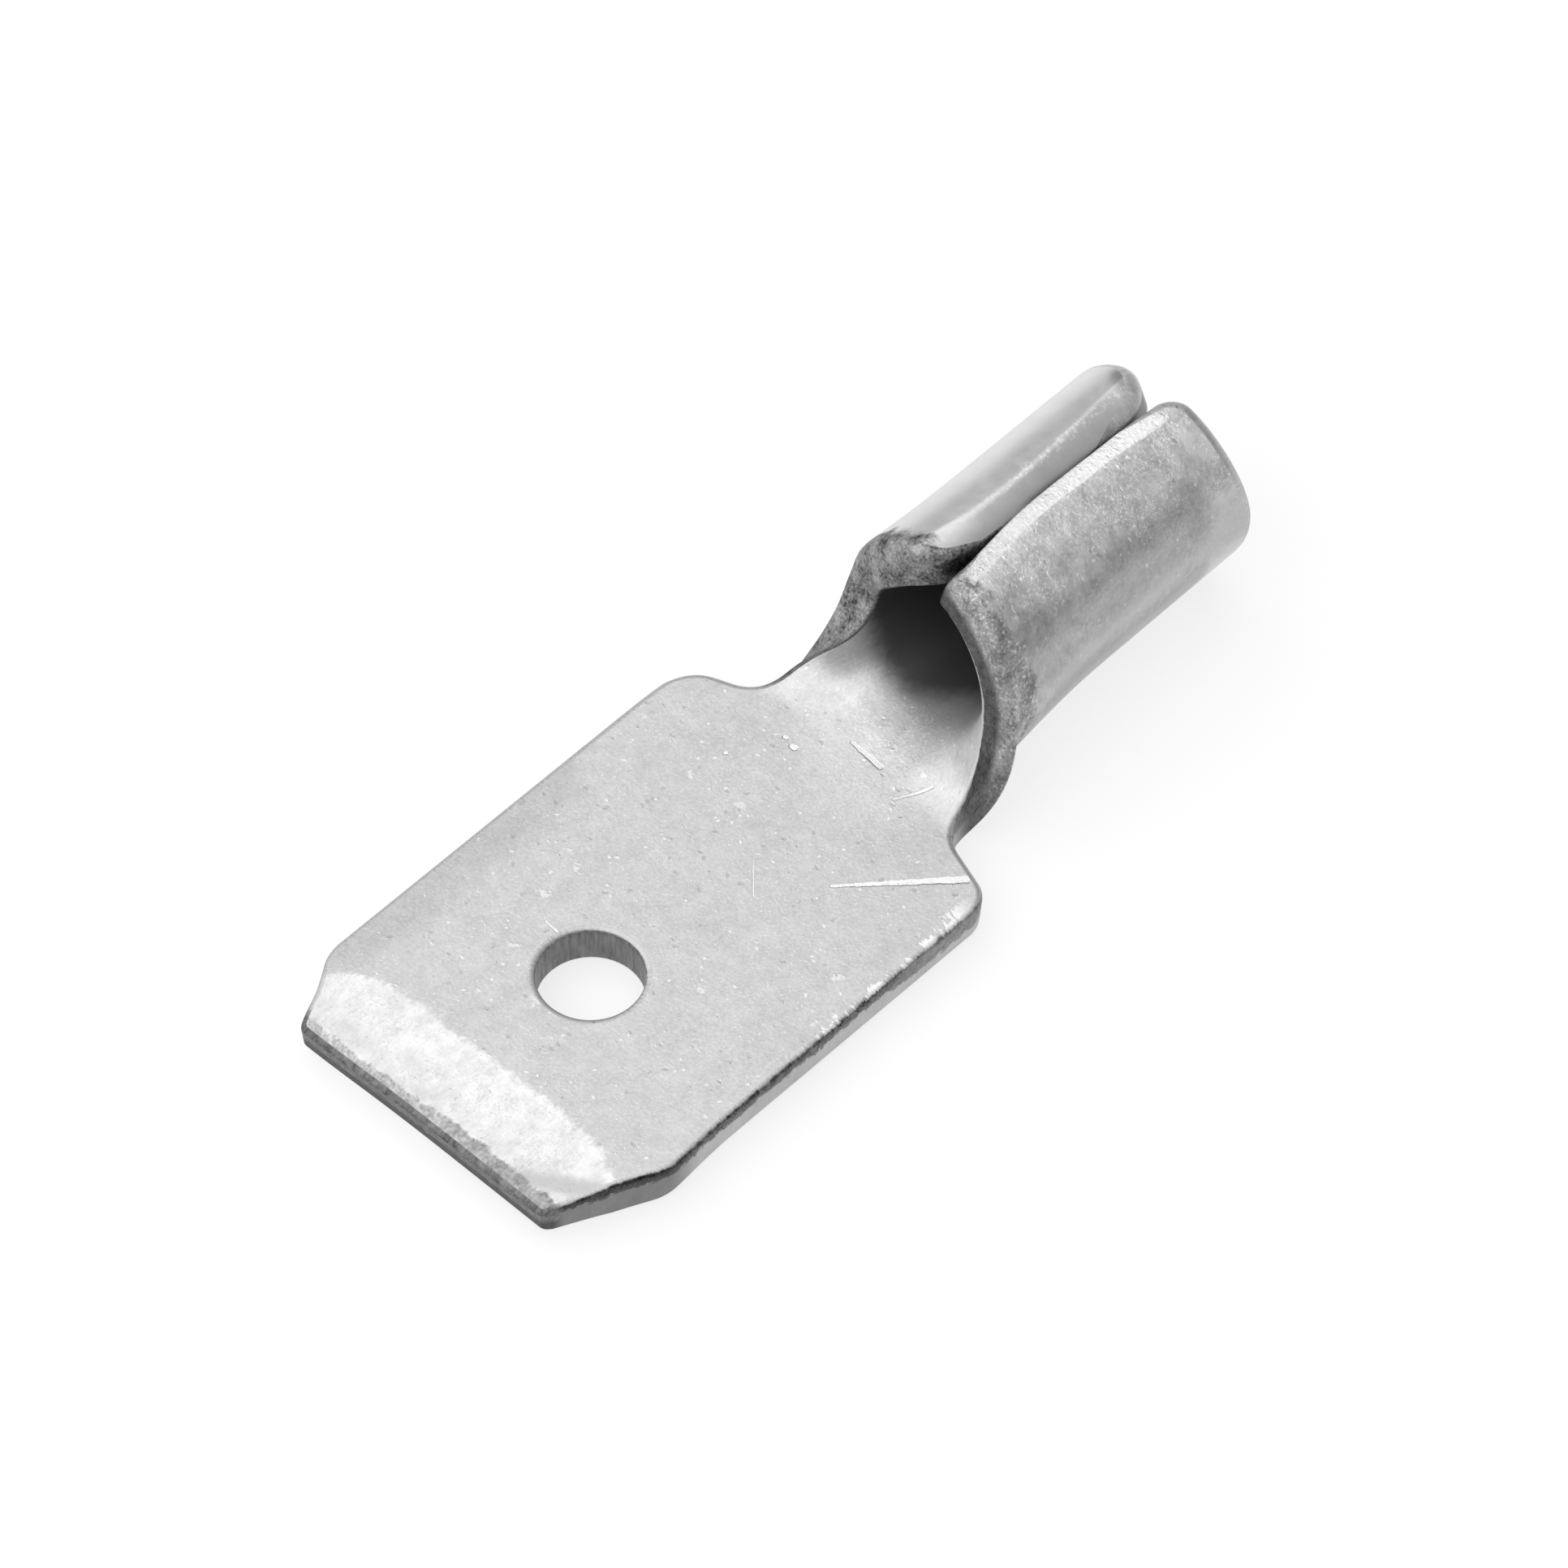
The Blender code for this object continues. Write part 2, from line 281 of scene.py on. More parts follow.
# %% Rows between the two long edges
BOW = 1.3 * MM
END_FADE = 14
ROOT_ROW = half_arc["tip"] + sum(ARC_POINTS[1:4]) + sum(RUN_POINTS[:4])
FRONT_ROW = ROOT_ROW + sum(ARC_POINTS[4:6]) + RUN_POINTS[4]


def ease(t):
    """0 to 1 along a curve with a level start and a level end."""
    t = np.clip(t, 0, 1)
    return t ** 3 * (t * (6 * t - 15) + 10)


def flat_grid(ring):
    """Rows of points between the ring's two long sides. A straight row is
    R (1 - v) + L v. To it are added, near each end, what the tip or rear edge departs
    from a straight row, and the bow, b 4 v (1 - v), along x."""
    right = ring[: ROWS + 1]
    rear = ring[ROWS: ROWS + COLUMNS + 1]
    left = ring[ROWS + COLUMNS: 2 * ROWS + COLUMNS + 1][::-1]
    tip = np.vstack([ring[2 * ROWS + COLUMNS:], ring[:1]])[::-1]
    index = np.arange(ROWS + 1)
    v = across[None, :, None]
    grid = right[:, None] * (1 - v) + left[:, None] * v
    tip_part = 1 - ease(index / END_FADE)
    rear_part = 1 - ease((ROWS - index) / END_FADE)
    grid = (
        grid
        + tip_part[:, None, None] * (tip - grid[0])
        + rear_part[:, None, None] * (rear - grid[-1])
    )
    opening = ease((index - ROOT_ROW) / (FRONT_ROW - ROOT_ROW))
    closing = 1 - ease((index - FRONT_ROW) / (ROWS - FRONT_ROW))
    grid[..., 0] += (BOW * opening * closing)[:, None] * (4 * across * (1 - across))
    return grid


print("rows at the neck's rear and at the wings' fronts:", ROOT_ROW, FRONT_ROW)

# %% Leave room for the rounded corners and build the two faces
# Width of the rounded corner at rows from tip to rear, above and below, in millimetres. The
# lower face becomes the barrel's outside, where the wings' fronts are rolled over most.
NOTCH_ROW = ROOT_ROW - RUN_POINTS[3] - ARC_POINTS[3] // 2
ROLL_ABOVE = {
    "left": ((0, 0.08), (NOTCH_ROW, 0.13), (ROOT_ROW, 0.05), (ROWS, 0.05)),
    "right": ((0, 0.08), (NOTCH_ROW, 0.10), (ROOT_ROW, 0.05), (ROWS, 0.05)),
}
ROLL_BELOW = {
    "left": (
        (0, 0.07),
        (ROOT_ROW, 0.07),
        (ROOT_ROW + 18, 0.30),
        (FRONT_ROW - 6, 0.26),
        (FRONT_ROW + 6, 0.05),
        (ROWS - 16, 0.05),
        (ROWS - 6, 0.24),
        (ROWS, 0.24),
    ),
    "right": (
        (0, 0.07),
        (END_FADE + 10, 0.07),
        (END_FADE + 30, 0.20),
        (NOTCH_ROW - 14, 0.20),
        (NOTCH_ROW, 0.07),
        (ROOT_ROW + 14, 0.07),
        (ROOT_ROW + 24, 0.18),
        (FRONT_ROW - 6, 0.22),
        (FRONT_ROW + 6, 0.05),
        (ROWS - 16, 0.05),
        (ROWS - 5, 0.22),
        (ROWS, 0.24),
    ),
}


def roll_width(stops):
    """Width round the ring, in metres: straight ramps between the rows that are given, and
    from one side to the other along the rear and the tip."""
    index = np.arange(ROWS + 1)
    right, left = (np.interp(index, *np.array(stops[side]).T) for side in ("right", "left"))
    rear = np.linspace(right[-1], left[-1], COLUMNS + 1)
    tip = np.linspace(left[0], right[0], COLUMNS + 1)
    return np.concatenate([right[:-1], rear[:-1], left[::-1][:-1], tip[:-1]]) * MM


roll_above = roll_width(ROLL_ABOVE)
roll_below = roll_width(ROLL_BELOW)
upper_grid = flat_grid(outline + roll_above[:, None] * normals)
lower_grid = flat_grid(outline + roll_below[:, None] * normals)
print("rows and columns:", upper_grid.shape[:2])

# %% [markdown]
# ## The punched hole
#
# The hole is cut through a square block of the grid. Every point on the block's rim has an
# angle about the hole's centre, and the circle gets a point at the same angle, so the rings
# between them change from square to round. The same rings go on through the hole: over its
# rolled upper rim, down the wall and out over the lower rim.

# %% Rings from the square block to the circle and through the sheet
HOLE_RADIUS = 1.62 / 2 * MM
HOLE_BLOCK = 1.3 * MM
RIM_WIDTH = 0.09 * MM
RIM_DEPTH = 0.05 * MM
RIM_STEPS = 5
SPREAD_STEPS = 9
SPREAD_POWER = 0.8
WALL_STEPS = 6


def hole_block(grid):
    """First and last row and column of the block that the hole is cut from."""
    middle = grid[:, COLUMNS // 2]
    rows = np.nonzero(np.abs(middle[:, 0] - HOLE_FROM_TIP) < HOLE_BLOCK)[0]
    line = grid[(rows[0] + rows[-1]) // 2]
    columns = np.nonzero(np.abs(line[:, 1]) < HOLE_BLOCK)[0]
    return rows[0], rows[-1], columns[0], columns[-1]


ROW_A, ROW_B, COLUMN_A, COLUMN_B = hole_block(upper_grid)
rows_up = np.arange(ROW_A, ROW_B)
columns_up = np.arange(COLUMN_A, COLUMN_B)
rim_row = np.concatenate([
    rows_up,
    np.full(len(columns_up), ROW_B),
    rows_up[::-1] + 1,
    np.full(len(columns_up), ROW_A),
])
rim_column = np.concatenate([
    np.full(len(rows_up), COLUMN_A),
    columns_up,
    np.full(len(rows_up), COLUMN_B),
    columns_up[::-1] + 1,
])
hole_centre = np.array([HOLE_FROM_TIP, 0])
offset = upper_grid[rim_row, rim_column] - hole_centre
circle = offset / np.linalg.norm(offset, axis=1)[:, None]


def face_rings(grid):
    """Rings of (x, y) and their depths below the face, from the block's rim to the wall.
    Spread: rim (1 - t) + circle t. Rolled rim: a quarter of an ellipse."""
    wide = HOLE_RADIUS + RIM_WIDTH
    t = np.linspace(0, 1, SPREAD_STEPS + 1)[1:, None, None] ** SPREAD_POWER
    spread = grid[rim_row, rim_column] * (1 - t) + (hole_centre + circle * wide) * t
    a = np.linspace(0, math.pi / 2, RIM_STEPS + 1)[1:]
    radius = wide - RIM_WIDTH * np.sin(a)
    rim = hole_centre + circle * radius[:, None, None]
    depth = np.concatenate([np.zeros(SPREAD_STEPS), RIM_DEPTH * (1 - np.cos(a))])
    return np.concatenate([spread, rim]), depth


above, depth = face_rings(upper_grid)
below, _ = face_rings(lower_grid)
wall_heights = np.linspace(SHEET / 2 - RIM_DEPTH, RIM_DEPTH - SHEET / 2, WALL_STEPS + 1)[1:-1]
wall = np.repeat(above[-1:], WALL_STEPS - 1, axis=0)
ring_places = np.concatenate([above, wall, below[::-1]])
ring_heights = np.concatenate([SHEET / 2 - depth, wall_heights, depth[::-1] - SHEET / 2])
print("rings through the hole:", ring_places.shape[:2])

# %% [markdown]
# ## The sheared edge
#
# A punch bends the sheet's edge over a little before it cuts through. So the upper corner is
# round, the wall below it leans in slightly, and the lower corner is rounded by the tinning.
# One profile of distance and height is carried round the whole outline.

# %% Carry the edge profile round the outline
ROLL_STEPS = 6
EDGE_WALL_STEPS = 6
WALL_LEAN = 0.03 * MM


def edge_strip():
    """Places and heights of the strip as (profile, ring) arrays. The profile is a quarter of
    a circle of the upper width, a wall that leans inwards by WALL_LEAN, and a quarter of a
    circle of the lower width, each as distance inwards from the outline and height."""
    a = np.linspace(0, math.pi / 2, ROLL_STEPS + 1)[:, None]
    upper_in = roll_above * (1 - np.sin(a))
    upper_height = SHEET / 2 - roll_above * (1 - np.cos(a))
    lower_in = WALL_LEAN + (roll_below - WALL_LEAN) * (1 - np.sin(a[::-1]))
    lower_height = -SHEET / 2 + roll_below * (1 - np.cos(a[::-1]))
    t = np.linspace(0, 1, EDGE_WALL_STEPS + 1)[1:-1, None]
    wall_in = WALL_LEAN * t + 0 * roll_above
    wall_height = upper_height[-1] * (1 - t) + lower_height[0] * t
    inwards = np.concatenate([upper_in, wall_in, lower_in])
    places = outline + inwards[..., None] * normals
    return places, np.concatenate([upper_height, wall_height, lower_height])


edge_places, edge_heights = edge_strip()
print("points round the outline and along its profile:", edge_places.shape[:2][::-1])

# %% [markdown]
# ## From flat points to one closed skin
#
# All points are still flat: two faces, the edge strip and the rings of the hole. Faces join
# them by their numbers. Where two sheets of points share a border, the strip takes over the
# grid's own numbers, so the skin has no seams to weld.

# %% Number the points and join them
def quads(ids):
    """Faces between neighbours in an array of point numbers."""
    return np.stack([ids[:-1, :-1], ids[1:, :-1], ids[1:, 1:], ids[:-1, 1:]], axis=-1)


def closed(ids):
    """The same numbers with the first column again at the end."""
    return np.hstack([ids, ids[:, :1]])


def with_height(flat_places, heights):
    """One row of (x, y, height) for each point of an array of places."""
    heights = np.broadcast_to(heights, flat_places.shape[:2])
    return np.concatenate([flat_places, heights[..., None]], axis=-1).reshape(-1, 3)


grid_size = upper_grid[..., 0].size
upper_ids = np.arange(grid_size).reshape(upper_grid.shape[:2])
lower_ids = upper_ids + grid_size
inner_edge = edge_places[1:-1]
edge_ids = np.arange(inner_edge[..., 0].size).reshape(inner_edge.shape[:2]) + 2 * grid_size
inner_rings = ring_places[:-1]
ring_ids = np.arange(inner_rings[..., 0].size).reshape(inner_rings.shape[:2]) + edge_ids[-1, -1] + 1
edge_ids = np.vstack([
    upper_ids[row_of_ring, column_of_ring],
    edge_ids,
    lower_ids[row_of_ring, column_of_ring],
])
ring_ids = np.vstack([upper_ids[rim_row, rim_column], ring_ids, lower_ids[rim_row, rim_column]])
solid_cell = np.ones((ROWS, COLUMNS), bool)
solid_cell[ROW_A:ROW_B, COLUMN_A:COLUMN_B] = False
face_groups = [
    quads(upper_ids)[solid_cell],
    quads(lower_ids)[solid_cell][:, ::-1],
    quads(closed(ring_ids)).reshape(-1, 4)[:, ::-1],
    quads(closed(edge_ids)).reshape(-1, 4),
]
points = np.concatenate([
    with_height(upper_grid, SHEET / 2),
    with_height(lower_grid, -SHEET / 2),
    with_height(inner_edge, edge_heights[1:-1]),
    with_height(inner_rings, ring_heights[:-1, None]),
])
used, faces = np.unique(np.concatenate(face_groups), return_inverse=True)
faces = faces.reshape(-1, 4)
points = points[used]
print("flat skin:", len(points), "points,", len(faces), "quads")

# %% [markdown]
# ## Coining
#
# Coining presses the sheet thinner: at the blade's tip, where a bevel leads into the socket,
# and along the two edges that become the seam. All of these are straight slopes: each
# point's height shrinks by a share that falls off with the distance from the edge.

# %% Press the tip and the lips
BEVEL_DROP = 0.10 * MM
# The bevel's reach in millimetres: in the middle, what it loses for each millimetre to the
# left, what it loses at the long edges, and how far out that is.
BEVEL_REACH = 1.41
BEVEL_SKEW = 0.02
BEVEL_ROUNDING = 0.75
BEVEL_HALF_WIDTH = 2.95
NOSE_LENGTH = 0.18 * MM
NOSE_DROP = 0.07 * MM
# The slope on the left lip, from the mouth to the rear: (place along the sheet, width) in mm.
LEFT_LIP = ((10.8, 0.58), (11.2, 0.43), (12.0, 0.33), (13.2, 0.32), (14.5, 0.39), (15.8, 0.50))
RIGHT_LIP = 0.28 * MM
LIP_DROP = {"left": 0.30 * MM, "right": 0.06 * MM}
LIP_FADE = {"front": 0.5 * MM, "length": 1.8 * MM}


def bevel_length(y):
    """How far the tip's bevel reaches: a little more to the right, and less near the two
    long edges, by an eighth power of the place across the blade."""
    place = (y + AXIS_TO_LEFT) / MM
    rounding = BEVEL_ROUNDING * np.clip(np.abs(place) / BEVEL_HALF_WIDTH, 0, 1) ** 8
    return (BEVEL_REACH - BEVEL_SKEW * place - rounding) * MM


def left_lip_width(x):
    """Width of the slope on the left lip: straight ramps between the places that are given."""
    return np.interp(x / MM, *np.array(LEFT_LIP).T) * MM


def coin(x, y, height):
    """Squeezes heights at the tip by the bevel's and the nose's drop, and lowers the outer
    face in a straight slope towards the seam, steep on the left lip and slight on the right."""
    bevel = BEVEL_DROP * np.clip(1 - x / bevel_length(y), 0, 1)
    nose = NOSE_DROP * np.clip(1 - x / NOSE_LENGTH, 0, 1)
    height = height * (1 - 2 * (bevel + nose) / SHEET)
    left = LIP_DROP["left"] * np.clip(1 - (WING["left"] - y) / left_lip_width(x), 0, 1)
    right = LIP_DROP["right"] * np.clip(1 - (WING["right"] + y) / RIGHT_LIP, 0, 1)
    lip = (left + right) * ease((x - WING_FRONT + LIP_FADE["front"]) / LIP_FADE["length"])
    return np.where(height < 0, height * (1 - 2 * lip / SHEET), height)


print("lip drops, mm:", {side: round(drop / MM, 2) for side, drop in LIP_DROP.items()})

# %% [markdown]
# ## Small faults of the outline
#
# A real stamping isn't quite even: a corner is dragged, an edge swells, an end isn't square.
# Each such fault is a soft push of the flat points around one place, so that a single list
# can hold them all.

# %% Push the outline about
# Faults of the real outline in millimetres: place, reach and shift, each along x and y.
FAULTS = (
    ((0.0, 2.4), (0.5, 1.5), (-0.06, 0.0)),
    ((0.55, 2.8), (0.4, 0.4), (0.03, -0.03)),
    ((1.9, -3.2), (0.6, 0.5), (0.0, -0.04)),
    ((8.4, 3.1), (0.5, 0.4), (-0.03, -0.03)),
    ((10.1, 1.9), (0.9, 1.0), (0.0, -0.05)),
    ((10.3, -2.0), (0.7, 0.9), (-0.02, -0.07)),
    ((10.9, -4.4), (0.5, 0.5), (0.05, -0.03)),
    ((15.0, 4.45), (0.7, 0.5), (0.0, -0.06)),
    ((15.82, -1.9), (0.5, 1.0), (0.15, 0.0)),
    ((13.0, 4.44), (1.5, 0.3), (0.0, 0.03)),
    ((13.0, -4.4), (1.5, 0.3), (0.0, -0.04)),
)
# Faults of the barrel's inside alone, at the two corners of its mouth.
INNER_FAULTS = (
    ((10.85, -4.4), (0.35, 0.5), (0.0, -0.29)),
    ((10.7, 3.4), (0.4, 0.5), (-0.10, 0.0)),
    ((11.0, 4.1), (0.4, 0.4), (0.12, 0.0)),
)


def push(x, y, height):
    """Moves flat points by the small faults of the real outline. Each fault is a bell curve,
    exp(-(dx / a)^2 - (dy / b)^2), times a shift along x and y. A fault of the inside alone
    fades through the sheet: its weight is 0 on the lower face and 1 on the upper one."""
    moved_x, moved_y = x.copy(), y.copy()
    inside = np.clip(0.5 + height / SHEET, 0, 1)
    for faults, weight in ((FAULTS, 1.0), (INNER_FAULTS, inside)):
        for (at_x, at_y), (reach_x, reach_y), (shift_x, shift_y) in faults:
            bell = np.exp(-(((x / MM - at_x) / reach_x) ** 2) - ((y / MM - at_y) / reach_y) ** 2)
            moved_x += bell * weight * shift_x * MM
            moved_y += bell * weight * shift_y * MM
    return moved_x, moved_y


print("faults:", len(FAULTS) + len(INNER_FAULTS))

# %% [markdown]
# ## Rolling
#
# Rolling bends the neck and the wings up. From a flat floor in the middle, each side follows
# an arc, and the arc's turn grows from nothing at the shoulders to half a circle at the
# barrel. One function does it for every point, so the twist of the neck comes by itself.

# %% Roll the skin
FOLD_START = BLADE_LENGTH + 0.36 * MM
FLOOR = 0.57 / 2 * MM
FLOOR_END = WING_FRONT + 2.2 * MM
DRAWN_IN = 0.025


def roll(x, y, height):
    """The flat floor reaches to y = f. Beyond it the sheet follows an arc of length
    s = |y| - f that has turned by s k, where k grows along the neck:
    across = f + sin(s k) / k - h sin(s k), up = (1 - cos(s k)) / k + h cos(s k).
    Towards the rear, the right side is drawn in a little."""
    fold = ease((x - FOLD_START) / (WING_FRONT - FOLD_START))
    floor = FLOOR * (1 - ease((x - FOLD_START) / (FLOOR_END - FOLD_START)))
    flat_part = np.clip(y, -floor, floor)
    arc = y - flat_part
    turn = arc * math.pi * fold / (WRAP - floor)
    side = flat_part + arc * np.sinc(turn / math.pi) - height * np.sin(turn)
    up = arc * np.sin(turn / 2) * np.sinc(turn / 2 / math.pi) + height * np.cos(turn)
    to_rear = np.clip((x - WING_FRONT) / (LENGTH - WING_FRONT), 0, 1)
    side *= 1 - DRAWN_IN * to_rear * (side < 0)
    return np.stack([x + low.x, side + AXIS_TO_LEFT, up + SHEET / 2], axis=-1)


x, y, height = points.T
places = roll(*push(x, y, height), coin(x, y, height))
print("rolled skin, mm:", (places.min(0) / MM).round(3), (places.max(0) / MM).round(3))

# %% [markdown]
# ## What the finish needs to know
#
# The tinning, the marks and the wear follow the sheet and not the rolled shape. So each point
# keeps its flat place in millimetres, as an attribute that the materials read. Three more
# serve the worked places: the place along and across the cut wall, the distance to the
# nearest edge, which places the dragged fronts and the painted highlight along the blade's
# right edge, and how far inside the tip's bevel a point lies.

# %% Flat place, wall place and distance to the nearest edge
BATCH = 2000
# A quad belongs to the cut wall from this share of its corners on.
WALL_SHARE = 0.4


def ring_length(ring):
    """Length along a closed ring, from its first point, in millimetres."""
    steps = np.linalg.norm(np.roll(ring, -1, axis=0) - ring, axis=1)
    return np.concatenate([[0], np.cumsum(steps)[:-1]]) / MM


def nearest_edge(flat_places):
    """Distance to the outline or the hole, whichever is less, in millimetres. The points are
    compared with the whole outline, a batch at a time."""
    parts = np.array_split(flat_places, len(flat_places) // BATCH)
    to_outline = np.concatenate([
        np.sqrt(((part[:, None] - outline[None]) ** 2).sum(-1)).min(1) for part in parts
    ])
    to_hole = np.abs(np.linalg.norm(flat_places - hole_centre, axis=1) - HOLE_RADIUS)
    return np.minimum(to_outline, to_hole) / MM


flat_place = np.stack([x, y + AXIS_TO_LEFT, height], axis=1) / MM
along_edge = np.broadcast_to(ring_length(outline), edge_places.shape[:2])
along_hole = np.broadcast_to(ring_length(above[-1]), ring_places.shape[:2])
along_wall = np.zeros(grid_size * 2 + inner_edge[..., 0].size + inner_rings[..., 0].size)
along_wall[upper_ids[row_of_ring, column_of_ring]] = along_edge[0]
along_wall[lower_ids[row_of_ring, column_of_ring]] = along_edge[0]
along_wall[edge_ids[1:-1]] = along_edge[1:-1]
along_wall[ring_ids[1:-1]] = along_hole[:-1]
wall_place = np.stack([along_wall[used], height / MM, np.zeros(len(used))], axis=1)
edge_distance = nearest_edge(points[:, :2])
on_wall = np.zeros(len(along_wall))
on_wall[edge_ids[1:-1]] = 1
on_wall[ring_ids[SPREAD_STEPS + 1:-SPREAD_STEPS - 1]] = 1
on_wall = on_wall[used]
inside_bevel = (bevel_length(y) - x) / MM
print("points on cut walls:", int(on_wall.sum()))

# %% [markdown]
# ## One mesh with two materials
#
# The skin stands for the measured model, so it replaces that node and rides on the root body.
# The faces of the sheet and its cut walls came about in different ways, so each quad is given
# one of two materials. Smooth shading hides the quads.

# %% Put the skin into a mesh
def add_attribute(data, name, kind, values):
    """Stores one value for each vertex."""
    attribute = data.attributes.new(name, kind, "POINT")
    field = "vector" if kind == "FLOAT_VECTOR" else "value"
    attribute.data.foreach_set(field, np.ascontiguousarray(values, "f").ravel())


mesh = bpy.data.meshes.new("terminal_skin")
mesh.from_pydata(places, [], faces)
add_attribute(mesh, "flat", "FLOAT_VECTOR", flat_place)
add_attribute(mesh, "wall", "FLOAT_VECTOR", wall_place)
add_attribute(mesh, "edge_distance", "FLOAT", edge_distance)
add_attribute(mesh, "inside_bevel", "FLOAT", inside_bevel)
cut_face = on_wall[faces].mean(axis=1) > WALL_SHARE
mesh.polygons.foreach_set("material_index", cut_face.astype("i"))
mesh.shade_smooth()
terminal = bpy.data.objects.new("terminal_skin", mesh)
bpy.context.scene.collection.objects.link(terminal)
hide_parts("blade_terminal")
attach(terminal, "root")
print("quads on the faces and on the cut edge:", int((~cut_face).sum()), int(cut_face.sum()))

# %% [markdown]
# ## Light
#
# Bright tin is a mirror that was made dull: it shows a blurred picture of the room. So the
# light is a whole studio ceiling, not a few lamps. The ceiling is bright over the part, most
# of all a little to the camera's left, and dimmer towards the walls. The sum is set so that a
# white card on the table would render as white.

# %% A studio ceiling that fades towards the walls
CEILING_MIDDLE = (-0.35, 0.35, 0.87)
CEILING_LIGHT = 1.35
WALL_LIGHT = 0.45
CEILING_ANGLES = (math.radians(63), math.radians(41))


def add_node(tree, kind, settings=None, **inputs):
    """Adds a node. Inputs are given by name, with _ for a space: a value, or another node's
    output to be linked."""
    new = tree.nodes.new(kind)
    for name, value in (settings or {}).items():
        setattr(new, name, value)
    for name, value in inputs.items():
        socket = new.inputs[int(name[1:])] if name[1:].isdigit() else new.inputs[name.replace("_", " ")]
        if isinstance(value, bpy.types.NodeSocket):
            tree.links.new(value, socket)
        else:
            socket.default_value = value
    return new


def studio_world():
    """World whose strength is smoothstep(cos 63, cos 41, direction . middle), from the walls'
    light to the ceiling's. A camera ray that misses the table sees plain white."""
    world = bpy.data.worlds.new("studio")
    world.use_nodes = True
    tree = world.node_tree
    direction = add_node(tree, "ShaderNodeTexCoord").outputs["Generated"]
    middle = Vector(CEILING_MIDDLE).normalized()
    toward = add_node(tree, "ShaderNodeVectorMath", {"operation": "DOT_PRODUCT"}, _0=direction, _1=middle)
    fade = add_node(
        tree,
        "ShaderNodeMapRange",
        {"interpolation_type": "SMOOTHSTEP"},
        Value=toward.outputs["Value"],
        From_Min=math.cos(CEILING_ANGLES[0]),
        From_Max=math.cos(CEILING_ANGLES[1]),
        To_Min=WALL_LIGHT,
        To_Max=CEILING_LIGHT,
    )
    seen = add_node(tree, "ShaderNodeLightPath").outputs["Is Camera Ray"]
    strength = add_node(tree, "ShaderNodeMix", Factor=seen, A=fade.outputs["Result"], B=1.0)
    background = tree.nodes["Background"]
    background.inputs["Color"].default_value = (1, 1, 1, 1)
    tree.links.new(strength.outputs["Result"], background.inputs["Strength"])
    return world


bpy.context.scene.world = studio_world()
bpy.context.scene.view_settings.view_transform = "Standard"
print("ceiling light:", CEILING_LIGHT, "wall light:", WALL_LIGHT)

# %% [markdown]
# ## The table
#
# The part lies on a plain white table, and the shadow on it should be faint. Where the camera
# or the metal sees the table, a part of its white is light of its own, and only the rest is
# lit. It meets the white background without an edge, and the shadow stays.

# %% Lay the table
TABLE_REACH = 0.4
TABLE_WHITE = 0.90
TABLE_GLOW = 0.72
TABLE_LIT = 0.33
TABLE_ROUGH = 0.8
TABLE_MIRROR = 0.1
TABLE_GAP = 0.01 * MM


def table_surface():
    """Matt white. Camera, glossy and transmission rays see a table that glows by TABLE_GLOW
    and is lit by TABLE_LIT. All others see plain white."""
    material = bpy.data.materials.new("table_white")
    material.use_nodes = True
    tree = material.node_tree
    shader = tree.nodes["Principled BSDF"]
    shader.inputs["Roughness"].default_value = TABLE_ROUGH
    shader.inputs["Specular IOR Level"].default_value = TABLE_MIRROR
    shader.inputs["Emission Strength"].default_value = 1.0
    ray = add_node(tree, "ShaderNodeLightPath").outputs
    sees = ray["Is Camera Ray"]
    for name in ("Is Glossy Ray", "Is Transmission Ray"):
        either = add_node(tree, "ShaderNodeMath", {"operation": "MAXIMUM"}, _0=sees, _1=ray[name])
        sees = either.outputs["Value"]
    for name, unseen, seen in (("Base Color", TABLE_WHITE, TABLE_LIT), ("Emission Color", 0.0, TABLE_GLOW)):
        level = add_node(tree, "ShaderNodeMix", Factor=sees, A=unseen, B=seen).outputs["Result"]
        grey = add_node(tree, "ShaderNodeCombineColor", Red=level, Green=level, Blue=level)
        tree.links.new(grey.outputs["Color"], shader.inputs[name])
    return material


def table():
    """One square, just under the part."""
    reach = TABLE_REACH
    data = bpy.data.meshes.new("table")
    corners = [(-reach, -reach, 0), (reach, -reach, 0), (reach, reach, 0), (-reach, reach, 0)]
    data.from_pydata(corners, [], [(0, 1, 2, 3)])
    data.materials.append(table_surface())
    thing = bpy.data.objects.new("table", data)
    thing.location.z = -TABLE_GAP
    bpy.context.scene.collection.objects.link(thing)
    return thing


table()

# %% [markdown]
# ## Small tools for patterns
#
# A finish is built from a few kinds of pattern, each of them a node group: the same group
# serves the faces and the cut edges, with other values. These helpers keep the node code
# short. Each returns the output socket that carries the result.
#
# Most borders are ramps over a place on the flat sheet. So their numbers are millimetres: x
# from the tip, y from the blade's middle and height from the middle of the sheet.

# %% Sums, products and ramps
def maths(tree, operation, first, second=0.0):
    """One Math node."""
    kind = "ShaderNodeMath"
    return add_node(tree, kind, {"operation": operation}, _0=first, _1=second).outputs["Value"]


def chain(tree, operation, values):
    """One Math operation from value to value."""
    result = values[0]
    for value in values[1:]:
        result = maths(tree, operation, result, value)
    return result


def product(tree, *values):
    """All the values, multiplied."""
    return chain(tree, "MULTIPLY", values)


def total(tree, *values):
    """All the values, added."""
    return chain(tree, "ADD", values)


def highest(tree, *values):
    """The largest of the values."""
    return chain(tree, "MAXIMUM", values)


def less(tree, first, second):
    """first - second."""
    return maths(tree, "SUBTRACT", first, second)


def clouded(tree, at, value, **shares):
    """The value, plus each of the named clouds times its share."""
    parts = [product(tree, getattr(at, name), share) for name, share in shares.items()]
    return total(tree, value, *parts)


